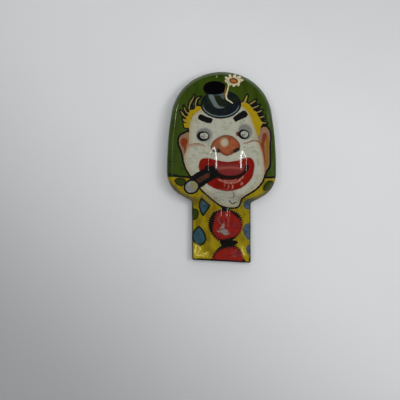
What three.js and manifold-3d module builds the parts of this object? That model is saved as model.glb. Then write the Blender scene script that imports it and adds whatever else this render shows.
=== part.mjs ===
// A hand clicker: one pressed tin shell with a stepped-down handle, and one spring-steel tongue
// held behind the handle by two lugs folded out of the shell. Millimetres, face up (+Z), head
// towards +Y, resting on its turned-down rim at z = 0.
import * as THREE from "three";
import Module from "manifold-3d";

// ---- Driving dimensions -------------------------------------------------------------------
const LENGTH = 88;            // head top to handle end
const HANDLE_WIDTH = 27.2;    // across the handle
const SHEET = 0.35;           // tinplate thickness
const HEAD_RIM_HEIGHT = 8.0;  // face height where the head meets its rim, above the table
const HANDLE_HEIGHT = 3.9;    // face height of the handle above the table
const HEAD_CROWN = 2.3;       // how far the head bulges above its edge
const MUZZLE_HEIGHT = 1.5;    // extra bulge under the nose and mouth
const RIB_HEIGHT = 0.8;       // embossed rib on the handle
const END_SKEW = 1.45;        // the cut end is this much longer on one side; the jaw leans less
const SKEW_START_DROP = 36;   // the lean starts this far below the top of the head

// ---- Outline: tangent arcs from the top of the head to the neck -----------------------------
const CROWN_RADIUS = 25.2, CROWN_TURN = 24;      // broad top of the head
const TEMPLE_RADIUS = 21.9, TEMPLE_TURN = 57.3;   // tighter turn into the sides
const SIDE_RADIUS = 180, SIDE_TURN = 8.7;        // long, nearly straight side
const SIDE_STRAIGHT = 0.4;                       // truly straight stretch above the jaw corner
const JAW_RADIUS = 12.2, JAW_TURN = 61;          // rounded lower corner of the head
const NECK_FILLET = 1.6;                         // inside corner where the handle starts
const END_RADIUS = 0.8;                          // outside corners of the handle's end

// ---- Pressing radii and embossing -----------------------------------------------------------
const HEAD_SHOULDER = 2.2;    // radius from the face into the rim on the head
const HANDLE_SHOULDER = 0.8;  // and on the handle
const NECK_MID_LIFT = 1.6;    // middle of the step, this far above the end of the neck fillet
const NECK_MID_RISE = 1.6;    // the step's middle moves up this much on the centre line
const NECK_REACH = 2.2;       // half length of the step at the handle's sides
const NECK_REACH_RISE = 3.0;  // and how much longer its half length is on the centre line
const CROWN_MID_DROP = 36;    // crown's highest line, down from the top of the head
const CROWN_HALF_X = 27, CROWN_HALF_Y = 37;
const MUZZLE_MID_X = 2.6, MUZZLE_MID_DROP = 43, MUZZLE_HALF_X = 9, MUZZLE_HALF_Y = 13;
const RIB_MID_X = 1.1, RIB_HALF_X = 3.0;
const RIB_MID_SHARE = 0.796, RIB_HALF_SHARE = 0.275;   // of the handle's length, up from its end
const EMBOSS_POWER = 1.2;     // near 1, an embossed bump is round on top and steep at its foot

// ---- Lugs and tongue ------------------------------------------------------------------------
const GAP = 0.35;             // room around the tongue's root
const TONGUE_THICKNESS = 0.4;
const TONGUE_WIDTH = 9;
const TONGUE_BOTTOM = HANDLE_HEIGHT / 2;      // underside of the tongue above the table
const TONGUE_TIP_DROP = 27;   // free end, down from the top of the head
const ROOT_WIDTH = HANDLE_WIDTH - 8.2;        // crossbar of the T-shaped root
const ROOT_SHARE = 0.481;     // middle of the crossbar, in handle lengths up from the end
const ROOT_HALF_LENGTH = 3;
const ROOT_CORNER = 1.2;
const DIMPLE_DROP = 50;       // dimple's middle, down from the top of the head
const DIMPLE_RADIUS = 3.6, DIMPLE_DEPTH = 0.7;
const LUG_LENGTH = 5;         // along the handle
const LUG_REACH = 7;          // from the handle's side to the lug's tip

// ---- Mesh fineness --------------------------------------------------------------------------
const SHOULDER_STEPS = 4, FACE_STEPS = 9, ARC_STEP_DEG = 9, LONG_STEP = 3.6, NECK_STEP = 1.3;

const rad = (deg) => deg * Math.PI / 180;
const smooth = (t) => { const c = Math.min(1, Math.max(0, t)); return c * c * (3 - 2 * c); };
const hump = (x, y) => Math.max(0, 1 - x * x - y * y) ** EMBOSS_POWER;

// Right half of the outline, top centre to end centre: points with outward headings in degrees.
function halfOutline() {
  const out = [];
  let neck = 0;
  let x = 0, y = LENGTH / 2, heading = 0;
  const arc = (radius, turn, side = 1) => {
    const steps = Math.max(2, Math.round(turn / ARC_STEP_DEG), Math.round(radius * rad(turn) / LONG_STEP));
    for (let i = 0; i < steps; i++) {
      const a = rad(heading), b = rad(heading - side * turn / steps);
      x += side * radius * (Math.sin(a) - Math.sin(b));
      y += side * radius * (Math.cos(b) - Math.cos(a));
      heading -= side * turn / steps;
      out.push({ x, y, normal: heading + 90 });
    }
  };
  const line = (length, step = LONG_STEP) => {
    const steps = Math.max(1, Math.round(length / step));
    for (let i = 0; i < steps; i++) {
      x += Math.cos(rad(heading)) * length / steps;
      y += Math.sin(rad(heading)) * length / steps;
      out.push({ x, y, normal: heading + 90 });
    }
  };
  out.push({ x, y, normal: 90 });
  arc(CROWN_RADIUS, CROWN_TURN);
  arc(TEMPLE_RADIUS, TEMPLE_TURN);
  arc(SIDE_RADIUS, SIDE_TURN);
  line(SIDE_STRAIGHT);
  arc(JAW_RADIUS, JAW_TURN);
  // The jaw line runs until the neck fillet can meet the handle's side.
  const filletX = HANDLE_WIDTH / 2 + NECK_FILLET * (1 - Math.cos(rad(JAW_TURN)));
  line((x - filletX) / -Math.cos(rad(heading)), NECK_STEP);
  arc(NECK_FILLET, JAW_TURN, -1);
  neck = y;
  line(NECK_REACH + NECK_REACH_RISE, NECK_STEP);
  line(y + LENGTH / 2 - END_RADIUS);
  arc(END_RADIUS, 90);
  line(x);
  return { points: out, neck };
}

const OUTLINE = halfOutline();
const TOP_Y = LENGTH / 2, END_Y = -LENGTH / 2;
const HANDLE_LENGTH = OUTLINE.neck - END_Y;
const NECK_MID_Y = OUTLINE.neck + NECK_MID_LIFT;
const CROWN_MID_Y = TOP_Y - CROWN_MID_DROP;
const MUZZLE_MID_Y = TOP_Y - MUZZLE_MID_DROP;
const RIB_MID_Y = END_Y + RIB_MID_SHARE * HANDLE_LENGTH, RIB_HALF_Y = RIB_HALF_SHARE * HANDLE_LENGTH;
const TONGUE_TIP_Y = TOP_Y - TONGUE_TIP_DROP;
const ROOT_Y = END_Y + ROOT_SHARE * HANDLE_LENGTH;      // also the line the tongue pivots on
const DIMPLE_Y = TOP_Y - DIMPLE_DROP;

// Height of the outer face at a point, before the shoulder rounds it off.
function faceHeight(x, y) {
  const across = Math.max(0, 1 - (2 * x / HANDLE_WIDTH) ** 2) ** 2;
  const mid = NECK_MID_Y + NECK_MID_RISE * across;
  const reach = NECK_REACH + NECK_REACH_RISE * across;
  const head = smooth((y - mid) / (2 * reach) + 0.5);
  const rx = x / CROWN_HALF_X, ry = (y - CROWN_MID_Y) / CROWN_HALF_Y;
  const crown = HEAD_CROWN * Math.max(0, 1 - rx * rx - ry * ry);
  const muzzle = MUZZLE_HEIGHT * hump((x - MUZZLE_MID_X) / MUZZLE_HALF_X, (y - MUZZLE_MID_Y) / MUZZLE_HALF_Y);
  const rib = RIB_HEIGHT * hump((x - RIB_MID_X) / RIB_HALF_X, (y - RIB_MID_Y) / RIB_HALF_Y);
  return HANDLE_HEIGHT + head * (HEAD_RIM_HEIGHT - HANDLE_HEIGHT + crown + muzzle) + rib;
}

// The stamping leans: its cut end is END_SKEW longer on one side, eased in from the head down.
function skewed(p) {
  const start = TOP_Y - SKEW_START_DROP;
  const along = smooth((start - p.y) / (start - END_Y));
  const side = 0.5 - END_RADIUS / HANDLE_WIDTH - p.x / HANDLE_WIDTH;
  return { ...p, y: p.y + along * END_SKEW * side };
}

// Where each outline point's ray across the face ends on the centre line.
function spineY(p) {
  const topMid = LENGTH / 2 - CROWN_RADIUS, endMid = -LENGTH / 2 + HANDLE_WIDTH / 2;
  if (p.y > topMid) return topMid + (p.y - topMid) * 0.45;
  if (p.y < endMid) {
    const round = (endMid - p.y) * 0.45 + (HANDLE_WIDTH / 2 - Math.abs(p.x)) * 0.3;
    return endMid - round;
  }
  return p.y;
}

const lift = (x, y, z) => new THREE.Vector3(x, y, z);

// One column of the outer skin: rim edge, wall, shoulder and face, out to the centre line.
function outerColumn(p) {
  const n = rad(p.normal), nx = Math.cos(n), ny = Math.sin(n);
  const end = { x: 0, y: spineY(p) };
  let dx = end.x - p.x, dy = end.y - p.y;
  const reach = Math.hypot(dx, dy) || 1;
  dx /= reach; dy /= reach;
  const steep = Math.max(0.35, -(dx * nx + dy * ny));
  const onHead = smooth((p.y - NECK_MID_Y + 1.5) / 5);
  const shoulder = HANDLE_SHOULDER + (HEAD_SHOULDER - HANDLE_SHOULDER) * onHead;
  const at = (depth) => {
    const x = p.x + dx * depth / steep, y = p.y + dy * depth / steep;
    const d = Math.min(depth, shoulder);
    const drop = shoulder - Math.sqrt(Math.max(0, shoulder ** 2 - (shoulder - d) ** 2));
    return lift(x, y, faceHeight(x, y) - drop);
  };
  const column = [lift(p.x, p.y, 0)];
  for (let i = 0; i <= SHOULDER_STEPS; i++) {
    column.push(at(shoulder * (1 - Math.cos(rad(90 * i / SHOULDER_STEPS)))));
  }
  const inner = reach * steep - shoulder;
  for (let i = 1; i <= FACE_STEPS; i++) column.push(at(shoulder + inner * i / FACE_STEPS));
  return column;
}

// Grid of columns round the whole outline; the last row is shared along the centre line.
function shellBody() {
  const half = OUTLINE.points;
  const right = half.map(skewed);
  const left = half.slice(1, -1).reverse().map((p) => skewed({ ...p, x: -p.x, normal: 180 - p.normal }));
  const loop = [...right, ...left];
  const grid = loop.map(outerColumn);
  const rows = grid[0].length, n = loop.length;
  const skin = (i, j) => grid[(i + n) % n][j];
  const vertices = [], key = new Map(), triangles = [];
  const put = (v) => {
    const k = [v.x, v.y, v.z].map((c) => Math.round(c * 1e4)).join(",");
    if (!key.has(k)) { key.set(k, vertices.length); vertices.push(v); }
    return key.get(k);
  };
  // Left and right rays meet on the centre line: average them so both sides share the point.
  for (let i = 0; i < n; i++) {
    const j = (n - i) % n;
    const a = grid[i][rows - 1], b = grid[j][rows - 1];
    const y = (a.y + b.y) / 2;
    const shared = lift(0, y, faceHeight(0, y));
    grid[i][rows - 1] = shared;
    grid[j][rows - 1] = shared.clone();
  }
  const normalAt = (i, j) => {
    if (j <= 1) {
      const a = rad(loop[i].normal);
      return lift(Math.cos(a), Math.sin(a), 0);
    }
    const p = skin(i, j), h = 0.05;
    if (j >= 1 + SHOULDER_STEPS) {
      const gx = (faceHeight(p.x + h, p.y) - faceHeight(p.x - h, p.y)) / (2 * h);
      const gy = (faceHeight(p.x, p.y + h) - faceHeight(p.x, p.y - h)) / (2 * h);
      return lift(-gx, -gy, 1).normalize();
    }
    const along = skin(i + 1, j).clone().sub(skin(i - 1, j));
    const up = skin(i, j + 1).clone().sub(skin(i, j - 1));
    return along.cross(up).normalize().negate();
  };
  const inside = grid.map((column, i) => column.map((v, j) => {
    const q = v.clone().addScaledVector(normalAt(i, j), -SHEET);
    if (j === 0) q.z = 0;
    if (j === rows - 1) q.x = 0;
    return q;
  }));
  const outId = grid.map((c) => c.map(put));
  const inId = inside.map((c) => c.map(put));
  const face = (a, b, c) => { if (a !== b && b !== c && a !== c) triangles.push(a, b, c); };
  for (let i = 0; i < n; i++) {
    const k = (i + 1) % n;
    for (let j = 0; j + 1 < rows; j++) {
      face(outId[i][j], outId[i][j + 1], outId[k][j + 1]);
      face(outId[i][j], outId[k][j + 1], outId[k][j]);
      face(inId[i][j], inId[k][j + 1], inId[i][j + 1]);
      face(inId[i][j], inId[k][j], inId[k][j + 1]);
    }
    face(outId[i][0], outId[k][0], inId[k][0]);
    face(outId[i][0], inId[k][0], inId[i][0]);
  }
  return { vertices: vertices.flatMap((v) => [v.x, v.y, v.z]), triangles };
}

// A lug: the rim's edge folded in under the root, rising to the tongue's underside.
function lugBody(side) {
  const wall = HANDLE_WIDTH / 2 - SHEET / 2;
  const tip = HANDLE_WIDTH / 2 - LUG_REACH;
  const top = TONGUE_BOTTOM - GAP, knee = tip + 2.2;
  const profile = [
    [wall, 0], [wall, SHEET * 1.4], [knee, top], [tip, top], [tip, top - SHEET], [knee + 0.25, top - SHEET],
    [wall - 0.5, 0],
  ].map(([x, z]) => [side * x, z]);
  const y0 = ROOT_Y - LUG_LENGTH / 2, y1 = ROOT_Y + LUG_LENGTH / 2;
  const count = profile.length;
  const vertices = [...profile.flatMap(([x, z]) => [x, y0, z]), ...profile.flatMap(([x, z]) => [x, y1, z])];
  const contour = profile.map(([x, z]) => new THREE.Vector2(x, z));
  const caps = THREE.ShapeUtils.triangulateShape(contour, []);
  const triangles = [];
  // triangulateShape keeps the contour's own winding, so the caps follow the side's mirror.
  const area = THREE.ShapeUtils.area(contour);
  const flip = area < 0;
  const face = (a, b, c) => (flip ? triangles.push(a, c, b) : triangles.push(a, b, c));
  for (const [a, b, c] of caps) {
    const ccw = THREE.ShapeUtils.area([contour[a], contour[b], contour[c]]) > 0;
    const [p, q, r] = ccw === !flip ? [a, b, c] : [a, c, b];
    face(p, q, r);
    face(r + count, q + count, p + count);
  }
  for (let i = 0; i < count; i++) {
    const k = (i + 1) % count;
    face(i, i + count, k + count);
    face(i, k + count, k);
  }
  return { vertices, triangles };
}

// The tongue: rows along its length, each as wide as the T-shaped plan there, with the dimple
// pressed down through it.
function tongueBody() {
  const wide = ROOT_WIDTH / 2, narrow = TONGUE_WIDTH / 2;
  const back = ROOT_Y - ROOT_HALF_LENGTH, front = ROOT_Y + ROOT_HALF_LENGTH;
  const plan = [];
  const corner = (cx, cy, radius, from, to, steps) => {
    for (let i = 0; i <= steps; i++) {
      const a = rad(from + (to - from) * i / steps);
      plan.push([cy + radius * Math.sin(a), cx + radius * Math.cos(a)]);
    }
  };
  corner(wide - ROOT_CORNER, back + ROOT_CORNER, ROOT_CORNER, -90, 0, 4);
  corner(wide - ROOT_CORNER, front - ROOT_CORNER, ROOT_CORNER, 0, 90, 4);
  // Inside corner where the crossbar narrows to the blade.
  for (let i = 0; i <= 4; i++) {
    const a = rad(90 * i / 4);
    plan.push([front + ROOT_CORNER * Math.sin(a) + 0.001 * (i + 1),
      narrow + ROOT_CORNER * (1 - Math.sin(rad(90 * i / 4))) * Math.cos(a / 3)]);
  }
  const bladeStart = front + ROOT_CORNER + 1, tipStart = TONGUE_TIP_Y - narrow;
  const dimpleRows = 10;
  const rowsY = [];
  for (let y = bladeStart; y < DIMPLE_Y - DIMPLE_RADIUS - 1.5; y += 3.5) rowsY.push(y);
  for (let i = 0; i <= dimpleRows; i++) rowsY.push(DIMPLE_Y + DIMPLE_RADIUS * (2 * i / dimpleRows - 1));
  for (let y = DIMPLE_Y + DIMPLE_RADIUS + 2; y < tipStart - 1.5; y += 3.5) rowsY.push(y);
  for (const y of rowsY) plan.push([y, narrow]);
  corner(narrow * 0, tipStart, narrow, 0, 82, 7);
  const columns = 14;
  const dimple = (x, y) => {
    const r2 = (x * x + (y - DIMPLE_Y) ** 2) / DIMPLE_RADIUS ** 2;
    return r2 < 1 ? DIMPLE_DEPTH * (1 - r2) ** 2 : 0;
  };
  const vertices = [], triangles = [];
  const id = (side, i, j) => (side * plan.length + i) * (columns + 1) + j;
  for (let side = 0; side < 2; side++) {
    for (const [y, w] of plan) {
      for (let j = 0; j <= columns; j++) {
        const x = w * (2 * j / columns - 1);
        const z = TONGUE_BOTTOM + (side ? TONGUE_THICKNESS : 0) + dimple(x, y);
        vertices.push(x, y, z);
      }
    }
  }
  const last = plan.length - 1;
  const quad = (a, b, c, d) => triangles.push(a, b, c, a, c, d);
  for (let i = 0; i < last; i++) {
    for (let j = 0; j < columns; j++) {
      quad(id(1, i, j), id(1, i, j + 1), id(1, i + 1, j + 1), id(1, i + 1, j));
      quad(id(0, i, j), id(0, i + 1, j), id(0, i + 1, j + 1), id(0, i, j + 1));
    }
    quad(id(0, i, 0), id(1, i, 0), id(1, i + 1, 0), id(0, i + 1, 0));
    quad(id(0, i, columns), id(0, i + 1, columns), id(1, i + 1, columns), id(1, i, columns));
  }
  for (let j = 0; j < columns; j++) {
    quad(id(0, 0, j), id(0, 0, j + 1), id(1, 0, j + 1), id(1, 0, j));
    quad(id(0, last, j), id(1, last, j), id(1, last, j + 1), id(0, last, j + 1));
  }
  return { vertices, triangles };
}

const wasm = await Module();
wasm.setup();
const solid = ({ vertices, triangles }) => new wasm.Manifold(new wasm.Mesh({
  numProp: 3,
  vertProperties: new Float32Array(vertices),
  triVerts: new Uint32Array(triangles),
}));

function meshOf(name, body, colour, metalness, roughness) {
  const data = body.getMesh();
  const geometry = new THREE.BufferGeometry();
  geometry.setAttribute("position", new THREE.BufferAttribute(Float32Array.from(data.vertProperties), 3));
  geometry.setIndex(new THREE.BufferAttribute(Uint32Array.from(data.triVerts), 1));
  geometry.computeVertexNormals();
  const mesh = new THREE.Mesh(geometry, new THREE.MeshStandardMaterial({ color: colour, metalness, roughness }));
  mesh.name = name;
  return mesh;
}

const shell = solid(shellBody()).add(solid(lugBody(1))).add(solid(lugBody(-1)));
const tongue = solid(tongueBody());

const group = new THREE.Group();
group.name = "hand_clicker";
group.add(meshOf("face_shell", shell, 0x3f5f22, 0.35, 0.35));
group.add(meshOf("click_tongue", tongue, 0x5b6470, 0.9, 0.35));

export default group;
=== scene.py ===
"""Looks of a pressed-tin hand clicker: a domed, printed clown head with a flat handle, and a
spring-steel tongue held behind it by two folded lugs. All drawing sizes are in millimetres, in
the part's own frame: +Y from the handle to the top of the head, +Z out of the printed face."""

import logging
import math
from dataclasses import dataclass, field
from enum import Enum
from typing import Sequence, Union

import bpy
import numpy as np
from mathutils import Matrix, Vector


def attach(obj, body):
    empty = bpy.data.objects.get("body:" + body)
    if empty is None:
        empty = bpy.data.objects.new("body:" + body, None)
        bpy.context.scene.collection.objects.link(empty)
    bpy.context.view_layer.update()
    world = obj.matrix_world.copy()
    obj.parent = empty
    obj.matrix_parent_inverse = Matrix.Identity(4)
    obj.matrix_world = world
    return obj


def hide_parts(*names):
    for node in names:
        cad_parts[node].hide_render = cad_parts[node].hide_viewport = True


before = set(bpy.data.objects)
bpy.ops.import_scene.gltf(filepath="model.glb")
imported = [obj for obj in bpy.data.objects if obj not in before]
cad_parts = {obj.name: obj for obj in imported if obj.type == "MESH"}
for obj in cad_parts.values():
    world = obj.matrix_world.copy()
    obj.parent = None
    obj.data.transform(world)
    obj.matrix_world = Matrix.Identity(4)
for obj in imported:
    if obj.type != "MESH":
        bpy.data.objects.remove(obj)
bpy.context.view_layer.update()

LOG = logging.getLogger("clicker")
MM = 0.001
MAP_SCALE = 0.0086
MAP_OUTSIDE = (0.25, 0.5)
MAP_INSIDE = (0.75, 0.5)
Array = np.ndarray
Point = tuple[float, float]
Colour = tuple[float, float, float]


# ------------------------------------------------------------------ the stamping's shape


@dataclass(frozen=True)
class Pressing:
    """Sizes of the tin stamping, the same as the solid part's."""

    length: float = 88.0
    handle_width: float = 27.2
    sheet: float = 0.35
    head_rim_height: float = 8.0
    handle_height: float = 3.9
    head_crown: float = 2.3
    muzzle_height: float = 1.5
    rib_height: float = 0.8
    end_skew: float = 1.45
    skew_start: float = 8.0
    arcs: tuple[tuple[float, float], ...] = ((25.2, 24.0), (21.9, 57.3), (180.0, 8.7))
    side_straight: float = 0.4
    jaw: tuple[float, float] = (12.2, 61.0)
    neck_fillet: float = 1.6
    end_radius: float = 0.8
    head_shoulder: float = 2.2
    handle_shoulder: float = 0.8
    neck_mid: float = -15.385
    neck_mid_rise: float = 1.6
    neck_reach: float = 2.2
    neck_reach_rise: float = 3.0
    crown: tuple[float, float, float] = (8.0, 27.0, 37.0)
    muzzle: tuple[float, float, float, float] = (2.6, 1.0, 9.0, 13.0)
    rib: tuple[float, float, float, float] = (1.1, -22.49, 3.0, 7.44)

    def height(self, x: Array, y: Array) -> Array:
        """Height of the outer face before its shoulder rounds it off.

        Args:
            x: across the face.
            y: along the face.

        Returns:
            handle height, plus a smooth step up to the head times (rim step + crown + muzzle),
            plus the handle's rib.
        """
        across = np.clip(1 - (2 * x / self.handle_width) ** 2, 0, None) ** 2
        mid = self.neck_mid + self.neck_mid_rise * across
        reach = self.neck_reach + self.neck_reach_rise * across
        head = smooth((y - mid) / (2 * reach) + 0.5)
        cy, cx_half, cy_half = self.crown
        crown = self.head_crown * np.clip(1 - (x / cx_half) ** 2 - ((y - cy) / cy_half) ** 2, 0, None)
        muzzle = self.muzzle_height * hump(x, y, self.muzzle)
        rib = self.rib_height * hump(x, y, self.rib)
        step = self.head_rim_height - self.handle_height
        return self.handle_height + head * (step + crown + muzzle) + rib


def smooth(t: Array) -> Array:
    """Smooth step: 3 t^2 - 2 t^3 with t held between 0 and 1.

    Args:
        t: where on the step, 0 at its start and 1 at its end.

    Returns:
        the share risen, 0 to 1.
    """
    c = np.clip(t, 0, 1)
    return c * c * (3 - 2 * c)


def hump(x: Array, y: Array, place: tuple[float, float, float, float]) -> Array:
    """A rounded bump: (1 - u^2 - v^2) to the power 1.2, u and v counted in half widths.

    Args:
        x: across the face.
        y: along the face.
        place: the middle and the half widths, each as x then y.

    Returns:
        the share of the bump's full height, 0 outside it.
    """
    mid_x, mid_y, half_x, half_y = place
    return np.clip(1 - ((x - mid_x) / half_x) ** 2 - ((y - mid_y) / half_y) ** 2, 0, None) ** 1.2


class ShellOutline:
    """The stamping's outline as tangent arcs and lines, walked from the top of the head."""

    def __init__(self, pressing: Pressing, step: float) -> None:
        """Walks the right half.

        Args:
            pressing: the stamping's sizes.
            step: spacing of the points.
        """
        self.p = pressing
        self.step = step
        self.spots: list[tuple[float, float, float]] = [(0.0, pressing.length / 2, 0.0)]
        self._walk()

    def _arc(self, radius: float, turn: float, side: float = 1.0) -> None:
        """Adds a tangent arc: the centre stays put while the heading turns evenly.

        Args:
            radius: of the arc.
            turn: degrees it turns by.
            side: 1 to turn toward the inside of the stamping, -1 away from it.
        """
        x, y, heading = self.spots[-1]
        n = max(3, round(radius * math.radians(turn) / self.step), round(turn / 6))
        a = np.radians(heading - side * turn * np.arange(1, n + 1) / n)
        a0 = math.radians(heading)
        xs = x + side * radius * (math.sin(a0) - np.sin(a))
        ys = y + side * radius * (np.cos(a) - math.cos(a0))
        self.spots += list(zip(xs, ys, np.degrees(a)))

    def _line(self, length: float) -> None:
        """Adds a straight stretch along the present heading.

        Args:
            length: of the stretch.
        """
        x, y, heading = self.spots[-1]
        n = max(1, round(length / self.step))
        t = length * np.arange(1, n + 1) / n
        a = math.radians(heading)
        self.spots += list(zip(x + t * math.cos(a), y + t * math.sin(a), np.full(n, heading)))

    def _walk(self) -> None:
        """Head arcs, side, jaw, slant to the neck, neck fillet, handle side and cut end."""
        p = self.p
        for radius, turn in p.arcs:
            self._arc(radius, turn)
        self._line(p.side_straight)
        self._arc(*p.jaw)
        x, _, heading = self.spots[-1]
        fillet_x = p.handle_width / 2 + p.neck_fillet * (1 - math.cos(math.radians(p.jaw[1])))
        self._line((x - fillet_x) / -math.cos(math.radians(heading)))
        self._arc(p.neck_fillet, p.jaw[1], -1)
        self._line(self.spots[-1][1] + p.length / 2 - p.end_radius)
        self._arc(p.end_radius, 90)
        self._line(self.spots[-1][0])

    def loop(self) -> tuple[Array, Array]:
        """The closed outline.

        Returns:
            points (n, 2) and outward normals (n, 2), first at the top of the head, second half
            the mirror of the first; the cut end leans by the end skew.
        """
        half = np.array(self.spots)
        left = half[1:-1][::-1].copy()
        left[:, 0] *= -1
        angle = np.radians(np.concatenate([half[:, 2] + 90, 90 - left[:, 2]]))
        xy = np.concatenate([half[:, :2], left[:, :2]])
        p = self.p
        along = smooth((p.skew_start - xy[:, 1]) / (p.skew_start + p.length / 2))
        side = 0.5 - p.end_radius / p.handle_width - xy[:, 0] / p.handle_width
        xy[:, 1] += along * p.end_skew * side
        return xy, np.stack([np.cos(angle), np.sin(angle)], 1)


@dataclass
class Surface:
    """A mesh in the making: vertices in millimetres, quads, and what each vertex carries."""

    verts: Array
    quads: Array
    values: dict[str, Array] = field(default_factory=dict)
    uv: Array | None = None

    def build(self, name: str, sharp_angle: float = 40.0) -> bpy.types.Object:
        """Makes the object, with smooth faces, float attributes and the bake map.

        Args:
            name: the piece's name.
            sharp_angle: edges folded by more than this many degrees stay sharp.

        Returns:
            the new object, in the scene.
        """
        mesh = bpy.data.meshes.new(name)
        faces = [list(dict.fromkeys(f)) for f in self.quads.tolist()]
        mesh.from_pydata((self.verts * MM).tolist(), [], [f for f in faces if len(f) > 2])
        mesh.polygons.foreach_set("use_smooth", np.ones(len(mesh.polygons), bool))
        for key, values in self.values.items():
            layer = mesh.attributes.new(key, "FLOAT", "POINT")
            layer.data.foreach_set("value", values.astype(np.float32))
        if self.uv is not None:
            index = np.empty(len(mesh.loops), np.int32)
            mesh.loops.foreach_get("vertex_index", index)
            layer = mesh.uv_layers.new(name="OFBake")
            layer.data.foreach_set("uv", self.uv[index].astype(np.float32).ravel())
        mesh.validate()
        mesh.set_sharp_from_angle(angle=math.radians(sharp_angle))
        obj = bpy.data.objects.new(name, mesh)
        bpy.context.scene.collection.objects.link(obj)
        LOG.info("%s: %d vertices, %d faces", name, len(mesh.vertices), len(mesh.polygons))
        return obj


def strip_quads(rows: Array) -> Array:
    """Quads of a grid of vertex numbers that closes on itself along its first axis.

    Args:
        rows: vertex numbers (around, along).

    Returns:
        quads (n, 4), each point joined to its neighbours one step around and one along.
    """
    a, b = rows[:, :-1], rows[:, 1:]
    c, d = np.roll(b, -1, 0), np.roll(a, -1, 0)
    return np.stack([a, b, c, d], -1).reshape(-1, 4)


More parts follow.
